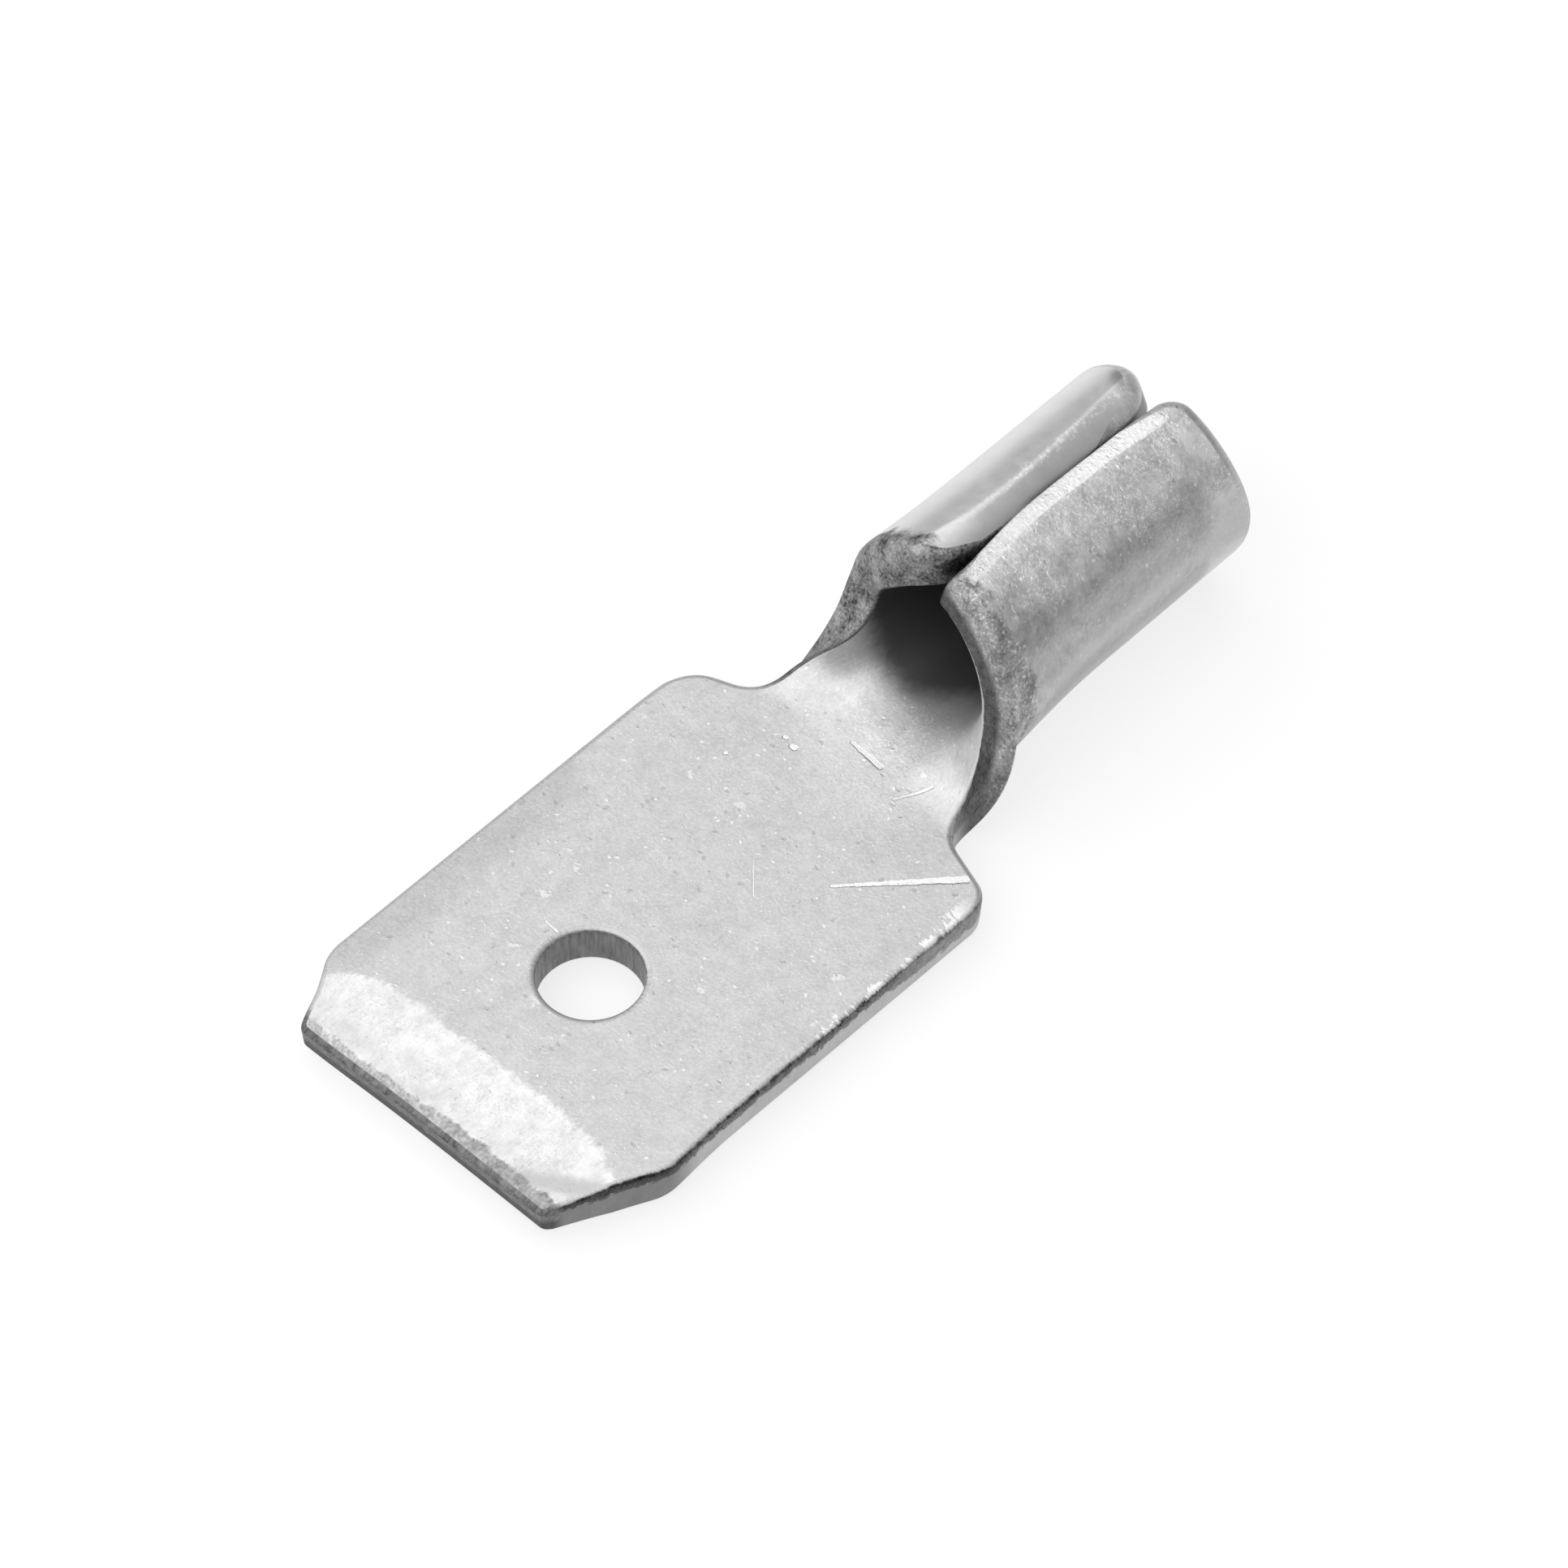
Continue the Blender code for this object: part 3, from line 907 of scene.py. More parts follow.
def vector_maths(tree, operation, first, second=(0, 0, 0), result="Vector"):
    """One Vector Math node."""
    kind = "ShaderNodeVectorMath"
    return add_node(tree, kind, {"operation": operation}, _0=first, _1=second).outputs[result]


def scaled(tree, vector, share):
    """A vector times a number."""
    kind = "ShaderNodeVectorMath"
    return add_node(tree, kind, {"operation": "SCALE"}, _0=vector, Scale=share).outputs["Vector"]


def ramp(tree, value, start, end, low=0.0, high=1.0, shape="SMOOTHSTEP"):
    """Runs smoothly from low at start to high at end. Start may be the larger."""
    settings = {"interpolation_type": shape}
    inputs = {"Value": value, "From_Min": start, "From_Max": end, "To_Min": low, "To_Max": high}
    return add_node(tree, "ShaderNodeMapRange", settings, **inputs).outputs["Result"]


def blend(tree, share, first, second):
    """first (1 - share) + second share."""
    return add_node(tree, "ShaderNodeMix", Factor=share, A=first, B=second).outputs["Result"]


def split(tree, vector):
    """The three parts of a vector."""
    return add_node(tree, "ShaderNodeSeparateXYZ", Vector=vector).outputs


print("helpers for numbers and vectors are ready")

# %% Noise and node groups
def noise(tree, place, scale, detail=3.0, rough=0.55, twist=0.0, output="Fac"):
    """Cloudy noise, from about 0.25 to 0.75. Twist bends its shapes."""
    inputs = {"Vector": place, "Scale": scale, "Detail": detail, "Roughness": rough, "Distortion": twist}
    return add_node(tree, "ShaderNodeTexNoise", **inputs).outputs[output]


def frayed(tree, place, scale, reach):
    """The place, moved about by noise, so that a straight border turns ragged."""
    wobble = noise(tree, place, scale, 2.0, output="Color")
    wobble = vector_maths(tree, "SUBTRACT", wobble, (0.5, 0.5, 0.5))
    return vector_maths(tree, "ADD", place, scaled(tree, wobble, reach))


def pattern_group(name, inputs, outputs):
    """An empty node group with named sockets, and the nodes that stand for them."""
    tree = bpy.data.node_groups.new(name, "ShaderNodeTree")
    for socket_name, kind, value in inputs:
        socket = tree.interface.new_socket(socket_name, in_out="INPUT", socket_type=kind)
        socket.default_value = value
    for socket_name in outputs:
        tree.interface.new_socket(socket_name, in_out="OUTPUT", socket_type="NodeSocketFloat")
    group_in = tree.nodes.new("NodeGroupInput").outputs
    group_out = tree.nodes.new("NodeGroupOutput").inputs
    return tree, group_in, group_out


def use_group(tree, group, output, **inputs):
    """Places a group in a material and returns one of its outputs."""
    return add_node(tree, "ShaderNodeGroup", {"node_tree": group}, **inputs).outputs[output]


VECTOR = ("Place", "NodeSocketVector", (0, 0, 0))


def number(name, value):
    """A number socket for pattern_group."""
    return (name, "NodeSocketFloat", value)


print("helpers for groups are ready; groups so far:", len(bpy.data.node_groups))

# %% [markdown]
# ## The patterns
#
# Tin from a plating bath is cloudy, because its crystals grow in patches. Handling in bulk
# gives it flecks: short bright dents that point every way, where parts knocked together.
# Between them lies a dust of much finer specks, in clusters. Scratches are thin lines. Each
# of these is one group.
#
# For the flecks, the plane is divided into cells. Each cell turns by its own random angle
# and holds one stretched dot. Specks are the peaks of a fine noise, kept where a coarse one
# is high. Scratches are noise that is stretched along one direction, of which only the
# middle values are kept, as a contour line.

# %% Clouds and flecks
def clouds_group():
    """Shade = noise(place / size) - 0.5, from about -0.25 to 0.25."""
    wanted = [VECTOR, number("Size", 1), number("Detail", 4)]
    tree, given, made = pattern_group("tin_clouds", wanted, ["Shade"])
    place = vector_maths(tree, "DIVIDE", given["Place"], given["Size"])
    shade = less(tree, noise(tree, place, 1.0, given["Detail"], 0.6), 0.5)
    tree.links.new(shade, made["Shade"])
    return tree


def flecks_group():
    """Cells of the given size, frayed. Inside a cell, with r the place from its point turned
    by a random angle: mask = 1 where |(r.x, stretch r.y)| is well under the reach, and only
    for the share of the cells whose random number is low."""
    wanted = [VECTOR, number("Size", 0.1), number("Share", 0.3), number("Stretch", 3.0)]
    tree, given, made = pattern_group("tin_flecks", wanted, ["Mask"])
    place = vector_maths(tree, "DIVIDE", given["Place"], given["Size"])
    place = frayed(tree, place, 2.4, 0.5)
    cell = add_node(tree, "ShaderNodeTexVoronoi", {"voronoi_dimensions": "2D"}, Vector=place, Scale=1.0)
    from_point = vector_maths(tree, "SUBTRACT", place, cell.outputs["Position"])
    random = split(tree, cell.outputs["Color"])
    angle = product(tree, random["X"], 2 * math.pi)
    turned = add_node(
        tree, "ShaderNodeVectorRotate", {"rotation_type": "Z_AXIS"}, Vector=from_point, Angle=angle
    )
    part = split(tree, turned.outputs["Vector"])
    thin = product(tree, part["Y"], given["Stretch"])
    stretched = add_node(tree, "ShaderNodeCombineXYZ", X=part["X"], Y=thin)
    distance = vector_maths(tree, "LENGTH", stretched.outputs["Vector"], result="Value")
    reach = ramp(tree, random["Z"], 0.0, 1.0, 0.2, 0.6)
    dot = ramp(tree, maths(tree, "DIVIDE", distance, reach), 1.1, 0.3)
    chosen = maths(tree, "LESS_THAN", random["Y"], given["Share"])
    tree.links.new(product(tree, dot, chosen), made["Mask"])
    return tree


CLOUDS = clouds_group()
FLECKS = flecks_group()
print("pattern groups:", CLOUDS.name, FLECKS.name)

# %% Specks and scratches
def specks_group():
    """Mask = the top of noise(place / size), times the top of a noise fourteen times as
    coarse. Amount lowers both thresholds."""
    wanted = [VECTOR, number("Size", 0.05), number("Amount", 0.0)]
    tree, given, made = pattern_group("tin_specks", wanted, ["Mask"])
    place = vector_maths(tree, "DIVIDE", given["Place"], given["Size"])
    peak = total(tree, noise(tree, place, 1.0, 3.0, 0.6, 1.0), given["Amount"])
    patch = total(tree, noise(tree, place, 0.07, 2.0), given["Amount"])
    mask = product(tree, ramp(tree, peak, 0.58, 0.70), ramp(tree, patch, 0.42, 0.60))
    tree.links.new(mask, made["Mask"])
    return tree


def scratches_group():
    """Turned by an angle, u runs along and v across. n = noise(u / length, v / spacing):
    mask = 1 where |n - 0.5| is under the fineness, broken up by a second noise."""
    wanted = [
        VECTOR, number("Angle", 0), number("Length", 3), number("Spacing", 0.25), number("Fineness", 0.01)
    ]
    tree, given, made = pattern_group("fine_scratches", wanted, ["Mask"])
    turned = add_node(
        tree,
        "ShaderNodeVectorRotate",
        {"rotation_type": "Z_AXIS"},
        Vector=given["Place"],
        Angle=given["Angle"],
    )
    part = split(tree, turned.outputs["Vector"])
    along = maths(tree, "DIVIDE", part["X"], given["Length"])
    across = maths(tree, "DIVIDE", part["Y"], given["Spacing"])
    stretched = add_node(tree, "ShaderNodeCombineXYZ", X=along, Y=across, Z=given["Angle"])
    ridge = noise(tree, stretched.outputs["Vector"], 1.0, 1.0)
    off_line = maths(tree, "ABSOLUTE", less(tree, ridge, 0.5))
    line = ramp(tree, off_line, given["Fineness"], 0.0)
    broken = ramp(tree, noise(tree, given["Place"], 1.4, 2.0), 0.52, 0.60)
    tree.links.new(product(tree, line, broken), made["Mask"])
    return tree


SPECKS = specks_group()
SCRATCHES = scratches_group()
print("pattern groups:", SPECKS.name, SCRATCHES.name)

# %% [markdown]
# ## Single marks and patches
#
# A few marks are large enough to tell this part from another: a long bright scratch near the
# right shoulder, and some short ones on the neck and beside the hole. Larger areas differ
# too: some are the tin's own dull and bright areas, and some are painted light, a painted
# highlight where the tin is made brighter and painted shade where it is made darker. All of
# them are strokes between two places on the sheet: a thin one is a scratch and a wide, soft
# one is a patch. The border is frayed by noise, because a scratch in soft tin throws up a
# burr. A thin dark line on one side is the burr's painted shadow.

# %% A stroke between two places
def stroke_group():
    """h = the share of the way from A to B at which the line is nearest, d = the distance to
    it. Mask = 1 where d + fray is under the width, which is taper at A and full beyond. Soft
    is the share of the width over which the mask falls, to each side of the border."""
    wanted = [
        VECTOR,
        ("A", "NodeSocketVector", (0, 0, 0)),
        ("B", "NodeSocketVector", (1, 0, 0)),
        number("Width", 0.05),
        number("Taper", 0.5),
        number("Soft", 0.15),
        number("Fray", 1.2),
    ]
    tree, given, made = pattern_group("stroke", wanted, ["Mask", "Shadow"])
    line = vector_maths(tree, "SUBTRACT", given["B"], given["A"])
    to_place = vector_maths(tree, "SUBTRACT", given["Place"], given["A"])
    reach = vector_maths(tree, "DOT_PRODUCT", line, line, "Value")
    share = maths(tree, "DIVIDE", vector_maths(tree, "DOT_PRODUCT", to_place, line, "Value"), reach)
    share = add_node(tree, "ShaderNodeClamp", Value=share).outputs["Result"]
    off_line = vector_maths(tree, "SUBTRACT", to_place, scaled(tree, line, share))
    distance = vector_maths(tree, "LENGTH", off_line, result="Value")
    fray = less(tree, noise(tree, given["Place"], 7.0, 4.0, 0.75), 0.5)
    fray = product(tree, fray, given["Width"], given["Fray"])
    width = product(tree, given["Width"], blend(tree, share, given["Taper"], 1.0))
    relative = maths(tree, "DIVIDE", total(tree, distance, fray), width)
    outer = total(tree, 1.0, given["Soft"])
    inner = less(tree, 1.0, given["Soft"])
    tree.links.new(ramp(tree, relative, outer, inner), made["Mask"])
    side = split(tree, off_line)["X"]
    shadow = product(tree, ramp(tree, relative, 1.7, 1.1), maths(tree, "LESS_THAN", side, 0.0))
    tree.links.new(shadow, made["Shadow"])
    return tree


STROKE = stroke_group()
print("pattern group:", STROKE.name)

# %% Where the scratches and patches lie
# Scratches on the upper face, in millimetres from the tip and from the blade's middle:
# where each starts and ends, its half width, its taper and how bright it is.
STROKES = (
    ((7.10, -1.33), (8.55, -2.66), 0.065, 0.4, 0.97),
    ((9.23, 0.29), (9.19, -0.32), 0.050, 0.6, 0.93),
    ((8.88, -0.87), (9.43, -1.18), 0.030, 0.5, 0.90),
    ((6.64, -0.17), (6.16, -0.64), 0.014, 0.6, 0.90),
    ((3.72, 1.24), (3.71, 0.93), 0.024, 0.5, 0.95),
    ((8.61, 1.08), (8.62, 1.06), 0.040, 0.9, 0.97),
    ((8.56, 0.88), (8.57, 0.84), 0.050, 0.9, 0.97),
    ((7.78, 1.51), (7.79, 1.50), 0.030, 0.9, 0.95),
)
PATCH_SOFT = 0.6
# Soft patches: start, end, half width and how many times as bright the tin is there. Some
# are the tin's own dull and bright areas. Others are painted light: the brightening in the
# neck lifts the shade of the barrel's mouth, the brightening along the right wing's lip, at
# its rear and along the left wing is painted highlight, and the darker bands on the right
# wing are partly painted shade.
UPPER_TONE_AND_LIGHT_PATCHES = (
    ((8.9, -0.6), (9.2, 0.4), 0.70, 1.13),
    ((9.75, -0.1), (10.2, 0.95), 0.45, 1.34),
    ((10.15, 0.5), (10.3, 1.0), 0.25, 1.10),
    ((10.65, -1.3), (10.6, -0.1), 0.35, 0.88),
    ((10.1, 1.6), (10.3, 1.9), 0.30, 0.78),
    ((1.5, 3.0), (5.5, 3.0), 0.50, 0.87),
)
LOWER_TONE_AND_LIGHT_PATCHES = (
    ((11.0, -2.85), (11.8, -2.85), 0.42, 0.68),
    ((12.5, -2.75), (14.7, -2.85), 0.36, 0.68),
    ((11.4, -2.25), (14.2, -2.30), 0.34, 0.78),
    ((10.9, -1.80), (14.6, -1.80), 0.28, 0.68),
    ((14.9, -2.40), (15.7, -2.30), 0.45, 0.74),
    ((11.9, -3.50), (15.3, -3.46), 0.32, 1.28),
    ((15.35, -3.70), (15.5, -3.45), 0.20, 1.30),
    ((11.2, 3.60), (15.8, 3.60), 0.50, 1.22),
    ((15.45, 4.12), (15.5, 4.00), 0.17, 0.55),
)


def place_stroke(tree, place, start, end, **values):
    """One stroke's node, with its two places and its numbers."""
    inputs = {"Place": place, "A": (*start, 0), "B": (*end, 0), **values}
    return add_node(tree, "ShaderNodeGroup", {"node_tree": STROKE}, **inputs).outputs


def add_strokes(tree, place, tone, where):
    """Paints every scratch on the tone. Returns the new tone and the largest of the masks."""
    marked = 0.0
    for start, end, width, taper, bright in STROKES:
        made = place_stroke(tree, place, start, end, Width=width, Taper=taper)
        tone = blend(tree, product(tree, made["Shadow"], where, 0.6), tone, 0.35)
        mask = product(tree, made["Mask"], where)
        tone = blend(tree, mask, tone, bright)
        marked = highest(tree, mask, marked)
    return tone, marked


def add_patches(tree, place, tone, where, patches):
    """Multiplies the tone inside every patch."""
    for start, end, width, factor in patches:
        made = place_stroke(tree, place, start, end, Width=width, Taper=1.0, Soft=PATCH_SOFT, Fray=1.0)
        mask = product(tree, made["Mask"], where)
        tone = product(tree, tone, blend(tree, mask, 1.0, factor))
    return tone


print("scratches:", len(STROKES), "patches:", len(UPPER_TONE_AND_LIGHT_PATCHES) + len(LOWER_TONE_AND_LIGHT_PATCHES))

# %% [markdown]
# ## Tin as it comes from the plating drum
#
# The plated parts are tumbled and shaken together, so the plain tin is made up in the same
# way everywhere: a light grey with clouds of three sizes, specks, flecks and a few fine
# scratches. Only how much of them shows changes over the part, because a tool that rolls the
# sheet also smooths it.

# %% What the finish of a face depends on
# Clouds of three sizes, in millimetres. The finest has less detail within it.
FACE_CLOUDS = {"broad": {"Size": 1.1}, "middle": {"Size": 0.26}, "fine": {"Size": 0.06, "Detail": 1.5}}
# The lower face's pattern is moved this far aside, in millimetres, so that it differs.
OTHER_FACE = 40.0
MOUTH = WING_FRONT / MM


def read_attribute(tree, name, output="Vector"):
    """An attribute of the mesh."""
    return add_node(tree, "ShaderNodeAttribute", {"attribute_name": name}).outputs[output]


def face_places(tree):
    """What the finish of a face depends on: the flat place and three sizes of clouds. The two
    faces get different patterns, by a shift of the place."""
    at = SimpleNamespace()
    part = split(tree, read_attribute(tree, "flat"))
    at.x, at.y, at.height = part["X"], part["Y"], part["Z"]
    at.upper = ramp(tree, at.height, -0.05, 0.05)
    at.lower = less(tree, 1.0, at.upper)
    shifted = total(tree, at.y, product(tree, at.lower, OTHER_FACE))
    at.flat = add_node(tree, "ShaderNodeCombineXYZ", X=at.x, Y=shifted).outputs["Vector"]
    at.plan = add_node(tree, "ShaderNodeCombineXYZ", X=at.x, Y=at.y).outputs["Vector"]
    for name, cloud in FACE_CLOUDS.items():
        setattr(at, name, use_group(tree, CLOUDS, "Shade", Place=at.flat, **cloud))
    at.edge_distance = read_attribute(tree, "edge_distance", "Fac")
    at.wings = product(tree, at.lower, ramp(tree, at.x, MOUTH - 0.6, MOUTH + 0.2))
    return at


def liveliness(tree, at):
    """How much of the specks and flecks shows: all on the blade, less on the left wing, on the
    lower part of the right wing and in the barrel, and more high up on the right wing."""
    left_wing = product(tree, at.wings, ramp(tree, at.y, 0.6, 1.4), 0.85)
    low_right = ramp(tree, clouded(tree, at, at.y, middle=1.2), -3.45, -3.0)
    low_right = product(tree, at.wings, low_right, ramp(tree, at.y, 0.6, 0.0), 0.5)
    in_barrel = product(tree, at.upper, ramp(tree, at.x, 10.2, 11.0), 0.85)
    quiet = highest(tree, left_wing, low_right, in_barrel)
    high_right = product(tree, at.wings, ramp(tree, at.y, -2.2, -3.0), 0.8)
    return less(tree, total(tree, 1.0, high_right), quiet)


print("clouds on the faces:", FACE_CLOUDS)

# %% Plain tin
TIN = 0.63
MARK_TIN = 0.90
PIT_TIN = 0.34
SCRATCH_TIN = 0.85
# Four kinds of flecks: how far the pattern is moved aside, the size of a cell, the share of
# the cells that hold a fleck, and the stretch.
FLECK_KINDS = {
    "faint": ((0, 0, 0), 0.07, 0.22, 1.7),
    "clear": ((7.3, 2.1, 0), 0.085, 0.045, 1.6),
    "large": ((0, 0, 0), 0.32, 0.03, 2.0),
    "pits": ((3.1, 6.7, 0), 0.12, 0.05, 1.6),
}
SPECK_SIZE = 0.045
SPECK_AMOUNT = 0.03
# Three directions of scratches: angle, length and spacing.
SCRATCH_SETS = ((0.5, 4.0, 0.5), (1.9, 2.2, 0.4), (2.7, 3.0, 0.6))
SCRATCH_FINENESS = 0.006


def plain_tin(tree, at, lively):
    """Tone and relief of plain tin."""
    grain = product(tree, clouded(tree, at, 0.0, middle=0.34, fine=0.20), lively)
    tone = total(tree, clouded(tree, at, TIN, broad=0.14), grain)
    specks = use_group(tree, SPECKS, "Mask", Place=at.flat, Size=SPECK_SIZE, Amount=SPECK_AMOUNT)
    flecks = {}
    for name, (shift, size, share, stretch) in FLECK_KINDS.items():
        place = vector_maths(tree, "ADD", at.flat, shift)
        flecks[name] = use_group(tree, FLECKS, "Mask", Place=place, Size=size, Share=share, Stretch=stretch)
    ragged = ramp(tree, clouded(tree, at, flecks["large"], fine=2.4), 0.35, 1.1)
    weighted = ((specks, 0.55), (flecks["faint"], 0.28), (flecks["clear"], 0.85), (ragged, 0.6))
    bright = highest(tree, *(product(tree, mask, weight) for mask, weight in weighted))
    bright = product(tree, bright, lively)
    pits = product(tree, flecks["pits"], lively, 0.35)
    scratches = 0.0
    for angle, length, spacing in SCRATCH_SETS:
        values = {"Angle": angle, "Length": length, "Spacing": spacing, "Fineness": SCRATCH_FINENESS}
        lines = use_group(tree, SCRATCHES, "Mask", Place=at.flat, **values)
        scratches = highest(tree, lines, scratches)
    on_blade = ramp(tree, at.x, 10.0, 9.0, 0.15, 1.0)
    scratches = product(tree, scratches, lively, on_blade)
    tone = blend(tree, pits, tone, PIT_TIN)
    tone = blend(tree, product(tree, scratches, 0.18), tone, SCRATCH_TIN)
    tone = blend(tree, bright, tone, MARK_TIN)
    relief = product(tree, clouded(tree, at, 0.0, fine=0.40, middle=0.8), lively)
    dents = ((bright, 0.4), (pits, -1.0), (scratches, -0.1))
    return tone, total(tree, relief, *(product(tree, mask, rise) for mask, rise in dents))


print("plain tin:", TIN, "marks:", MARK_TIN, "pits:", PIT_TIN)

# %% [markdown]
# ## The bevel and the nose
#
# Some places were touched by a tool after the plating, or made by one. The bevel is
# burnished and the steeper nose in front of it is rough. This tip is where a real part shows
# most wear, because it is pushed into a socket. Both have ragged borders, so the distance
# from the tip is shaken by the clouds before it is compared.

# %% Bevel and nose
BEVEL_TIN = 0.745
STREAK_SIZE = 0.05
NOSE_TIN = 0.44
# A grey patch on the bevel, near its right end.
GREY_PATCH = {"start": (0.30, -1.80), "end": (0.80, -2.70), "Width": 0.18, "Taper": 0.7, "Soft": 0.7}
GREY_TIN = 0.48


def burnished_tip(tree, at, tone):
    """The bevel, between a ragged border in front and a softer one behind, and the nose. The
    bevel is streaked along the sheet, the way it was drawn over the tool."""
    drawn_out = vector_maths(tree, "MULTIPLY", at.flat, (0.3, 1.0, 1.0))
    at.streaks = use_group(tree, CLOUDS, "Shade", Place=drawn_out, Size=STREAK_SIZE)
    inside = read_attribute(tree, "inside_bevel", "Fac")
    behind = clouded(tree, at, inside, middle=0.40, fine=0.12)
    in_front = clouded(tree, at, at.x, middle=0.26, fine=0.05)
    nose_edge = less(tree, in_front, ramp(tree, at.y, 0.6, -0.4, 0.18, 0.27))
    beside = ramp(tree, maths(tree, "ABSOLUTE", at.y), 3.1, 2.7)
    bevel = product(tree, ramp(tree, behind, -0.04, 0.09), ramp(tree, nose_edge, -0.03, 0.04), beside)
    bevel_tone = clouded(tree, at, BEVEL_TIN, streaks=0.20, broad=0.26, middle=0.40, fine=0.14)
    bevel_tone = product(tree, bevel_tone, ramp(tree, at.x, 0.9, 0.2, 1.0, 0.90))
    grey = place_stroke(tree, at.plan, **GREY_PATCH)["Mask"]
    bevel_tone = blend(tree, product(tree, grey, 0.85), bevel_tone, GREY_TIN)
    tone = blend(tree, bevel, tone, bevel_tone)
    nose = ramp(tree, nose_edge, 0.03, -0.03)
    nose_tone = clouded(tree, at, NOSE_TIN, fine=0.6, middle=0.6)
    nose_tone = product(tree, nose_tone, ramp(tree, at.y, 0.5, -1.5, 1.0, 0.78))
    return blend(tree, nose, tone, nose_tone), bevel


print("bevel:", BEVEL_TIN, "nose:", NOSE_TIN)

# %% [markdown]
# ## The fronts of the wings
#
# The fronts of the wings were dragged over a die, which left them dark and rough. The same
# dragged metal goes on over the rounded corner to the cut wall, so both materials need it.
# That is why its pattern is read in space and not on the sheet.

# %% Dragged fronts
DRAGGED_TIN = 0.25
DARKEST_DRAGGED = 0.06
DRAGGED_SIZES = {"coarse": 0.30, "grain": 0.048}


def rough_front(tree, y):
    """Tone and grain of metal that was dragged over the die, paler on the right wing. It reads
    the place in space, in millimetres, so that it runs on over a rounded corner."""
    object_place = add_node(tree, "ShaderNodeTexCoord").outputs["Object"]
    place = scaled(tree, object_place, 1 / MM)
    coarse = use_group(tree, CLOUDS, "Shade", Place=place, Size=DRAGGED_SIZES["coarse"])
    grain = use_group(tree, CLOUDS, "Shade", Place=place, Size=DRAGGED_SIZES["grain"], Detail=1.5)
    right = ramp(tree, y, 0.5, -0.5)
    tone = total(tree, DRAGGED_TIN, product(tree, coarse, 0.90), product(tree, grain, 0.65))
    tone = highest(tree, tone, DARKEST_DRAGGED)
    bright = product(tree, ramp(tree, grain, 0.10, 0.22), right, 0.22)
    return total(tree, tone, product(tree, right, 0.15), bright), grain


def wing_fronts(tree, at, tone):
    """The dragged fronts of the wings, outside."""
    from_front = less(tree, less(tree, at.x, MOUTH), ramp(tree, at.y, 2.2, 3.4, 0.0, 0.12))
    from_front = clouded(tree, at, from_front, middle=0.7)
    dragged = product(
        tree,
        ramp(tree, from_front, 0.38, 0.14),
        ramp(tree, at.x, 9.4, 10.0),
        at.lower,
        ramp(tree, at.edge_distance, 0.95, 0.55),
    )
    front_tone, grain = rough_front(tree, at.y)
    return blend(tree, dragged, tone, front_tone), dragged, grain


print("dragged fronts:", DRAGGED_TIN)

# %% [markdown]
# ## The lips of the seam
#
# The lips were pressed by the tool that closed the barrel. The right one is almost white,
# with a crisp border: partly burnished tin, partly a painted highlight of its sloping facet.
# Along the left one's crest runs a painted highlight, broken into patches.

# %% Lips of the seam
# Tones of the right lip, burnished tin with a painted highlight, and of the painted highlight on the left
# crest.
LIP_TONE_AND_HIGHLIGHT = 0.90
CREST_HIGHLIGHT_TONE = 0.92
CREST_INSET = 0.34
CREST = (WING["left"] + AXIS_TO_LEFT) / MM - CREST_INSET
SEAM_RIGHT = (-WING["right"] + AXIS_TO_LEFT) / MM


def seam_finish(tree, at, tone):
    """A right lip with a crisp border, duller near the mouth, that is partly burnished tin and
    partly a painted highlight of its facet, and a painted highlight in patches along the left
    crest."""
    from_seam = less(tree, at.y, SEAM_RIGHT)
    width = ramp(tree, at.x, 14.2, 15.1, 0.26, 0.34, "LINEAR")
    border = clouded(tree, at, from_seam, broad=0.10, middle=0.04)
    border = maths(tree, "DIVIDE", border, width)
    ragged = clouded(tree, at, at.x, middle=0.5)
    lip = product(
        tree,
        ramp(tree, border, 1.05, 0.95),
        ramp(tree, ragged, MOUTH + 0.12, MOUTH + 0.25),
        ramp(tree, ragged, 15.32, 15.18),
        at.lower,
    )
    # Right lip: burnished tin and a painted highlight of its facet.
    lip_tone = total(tree, ramp(tree, at.x, 10.8, 14.2, -0.24, 0.03), LIP_TONE_AND_HIGHLIGHT)
    tone = blend(tree, lip, tone, clouded(tree, at, lip_tone, fine=0.45))
    # Left crest: a painted highlight, broken into patches.
    off_crest = clouded(tree, at, less(tree, at.y, CREST), middle=0.16)
    off_crest = maths(tree, "ABSOLUTE", off_crest)
    crest = product(
        tree,
        ramp(tree, off_crest, 0.085, 0.03),
        ramp(tree, clouded(tree, at, at.fine, middle=0.6), -0.02, 0.12),
        at.wings,
        ramp(tree, at.x, 11.8, 13.4, 0.15, 0.80),
    )
    return blend(tree, crest, tone, CREST_HIGHLIGHT_TONE), lip


print("crest of the left lip, mm:", round(CREST, 3), "right lip:", round(SEAM_RIGHT, 3))

# %% [markdown]
# ## Painted shade in the barrel and a painted highlight on the edge
#
# The inside of the barrel is painted darker from the mouth on: painted shade, because little
# light reaches into it. Along the blade's right edge the rounded corner carries a painted
# highlight, in short ragged patches.

# %% Painted shade inside the barrel, painted highlight on the blade's right edge
BORE_SHADE_TONE = 0.17
EDGE_HIGHLIGHT_TONE = 0.95


def bore_painted_shade(tree, at, tone):
    """Painted shade: the barrel's inside darkens over a millimetre, along a slanting line."""
    slant = total(tree, ramp(tree, at.y, -0.7, 0.6, -0.2, 0.42), ramp(tree, at.y, 0.9, 1.9, 0.0, -0.10))
    slanted = clouded(tree, at, total(tree, at.x, slant), middle=0.35)
    bore = product(tree, at.upper, ramp(tree, slanted, 10.50, 11.20))
    return blend(tree, bore, tone, BORE_SHADE_TONE)


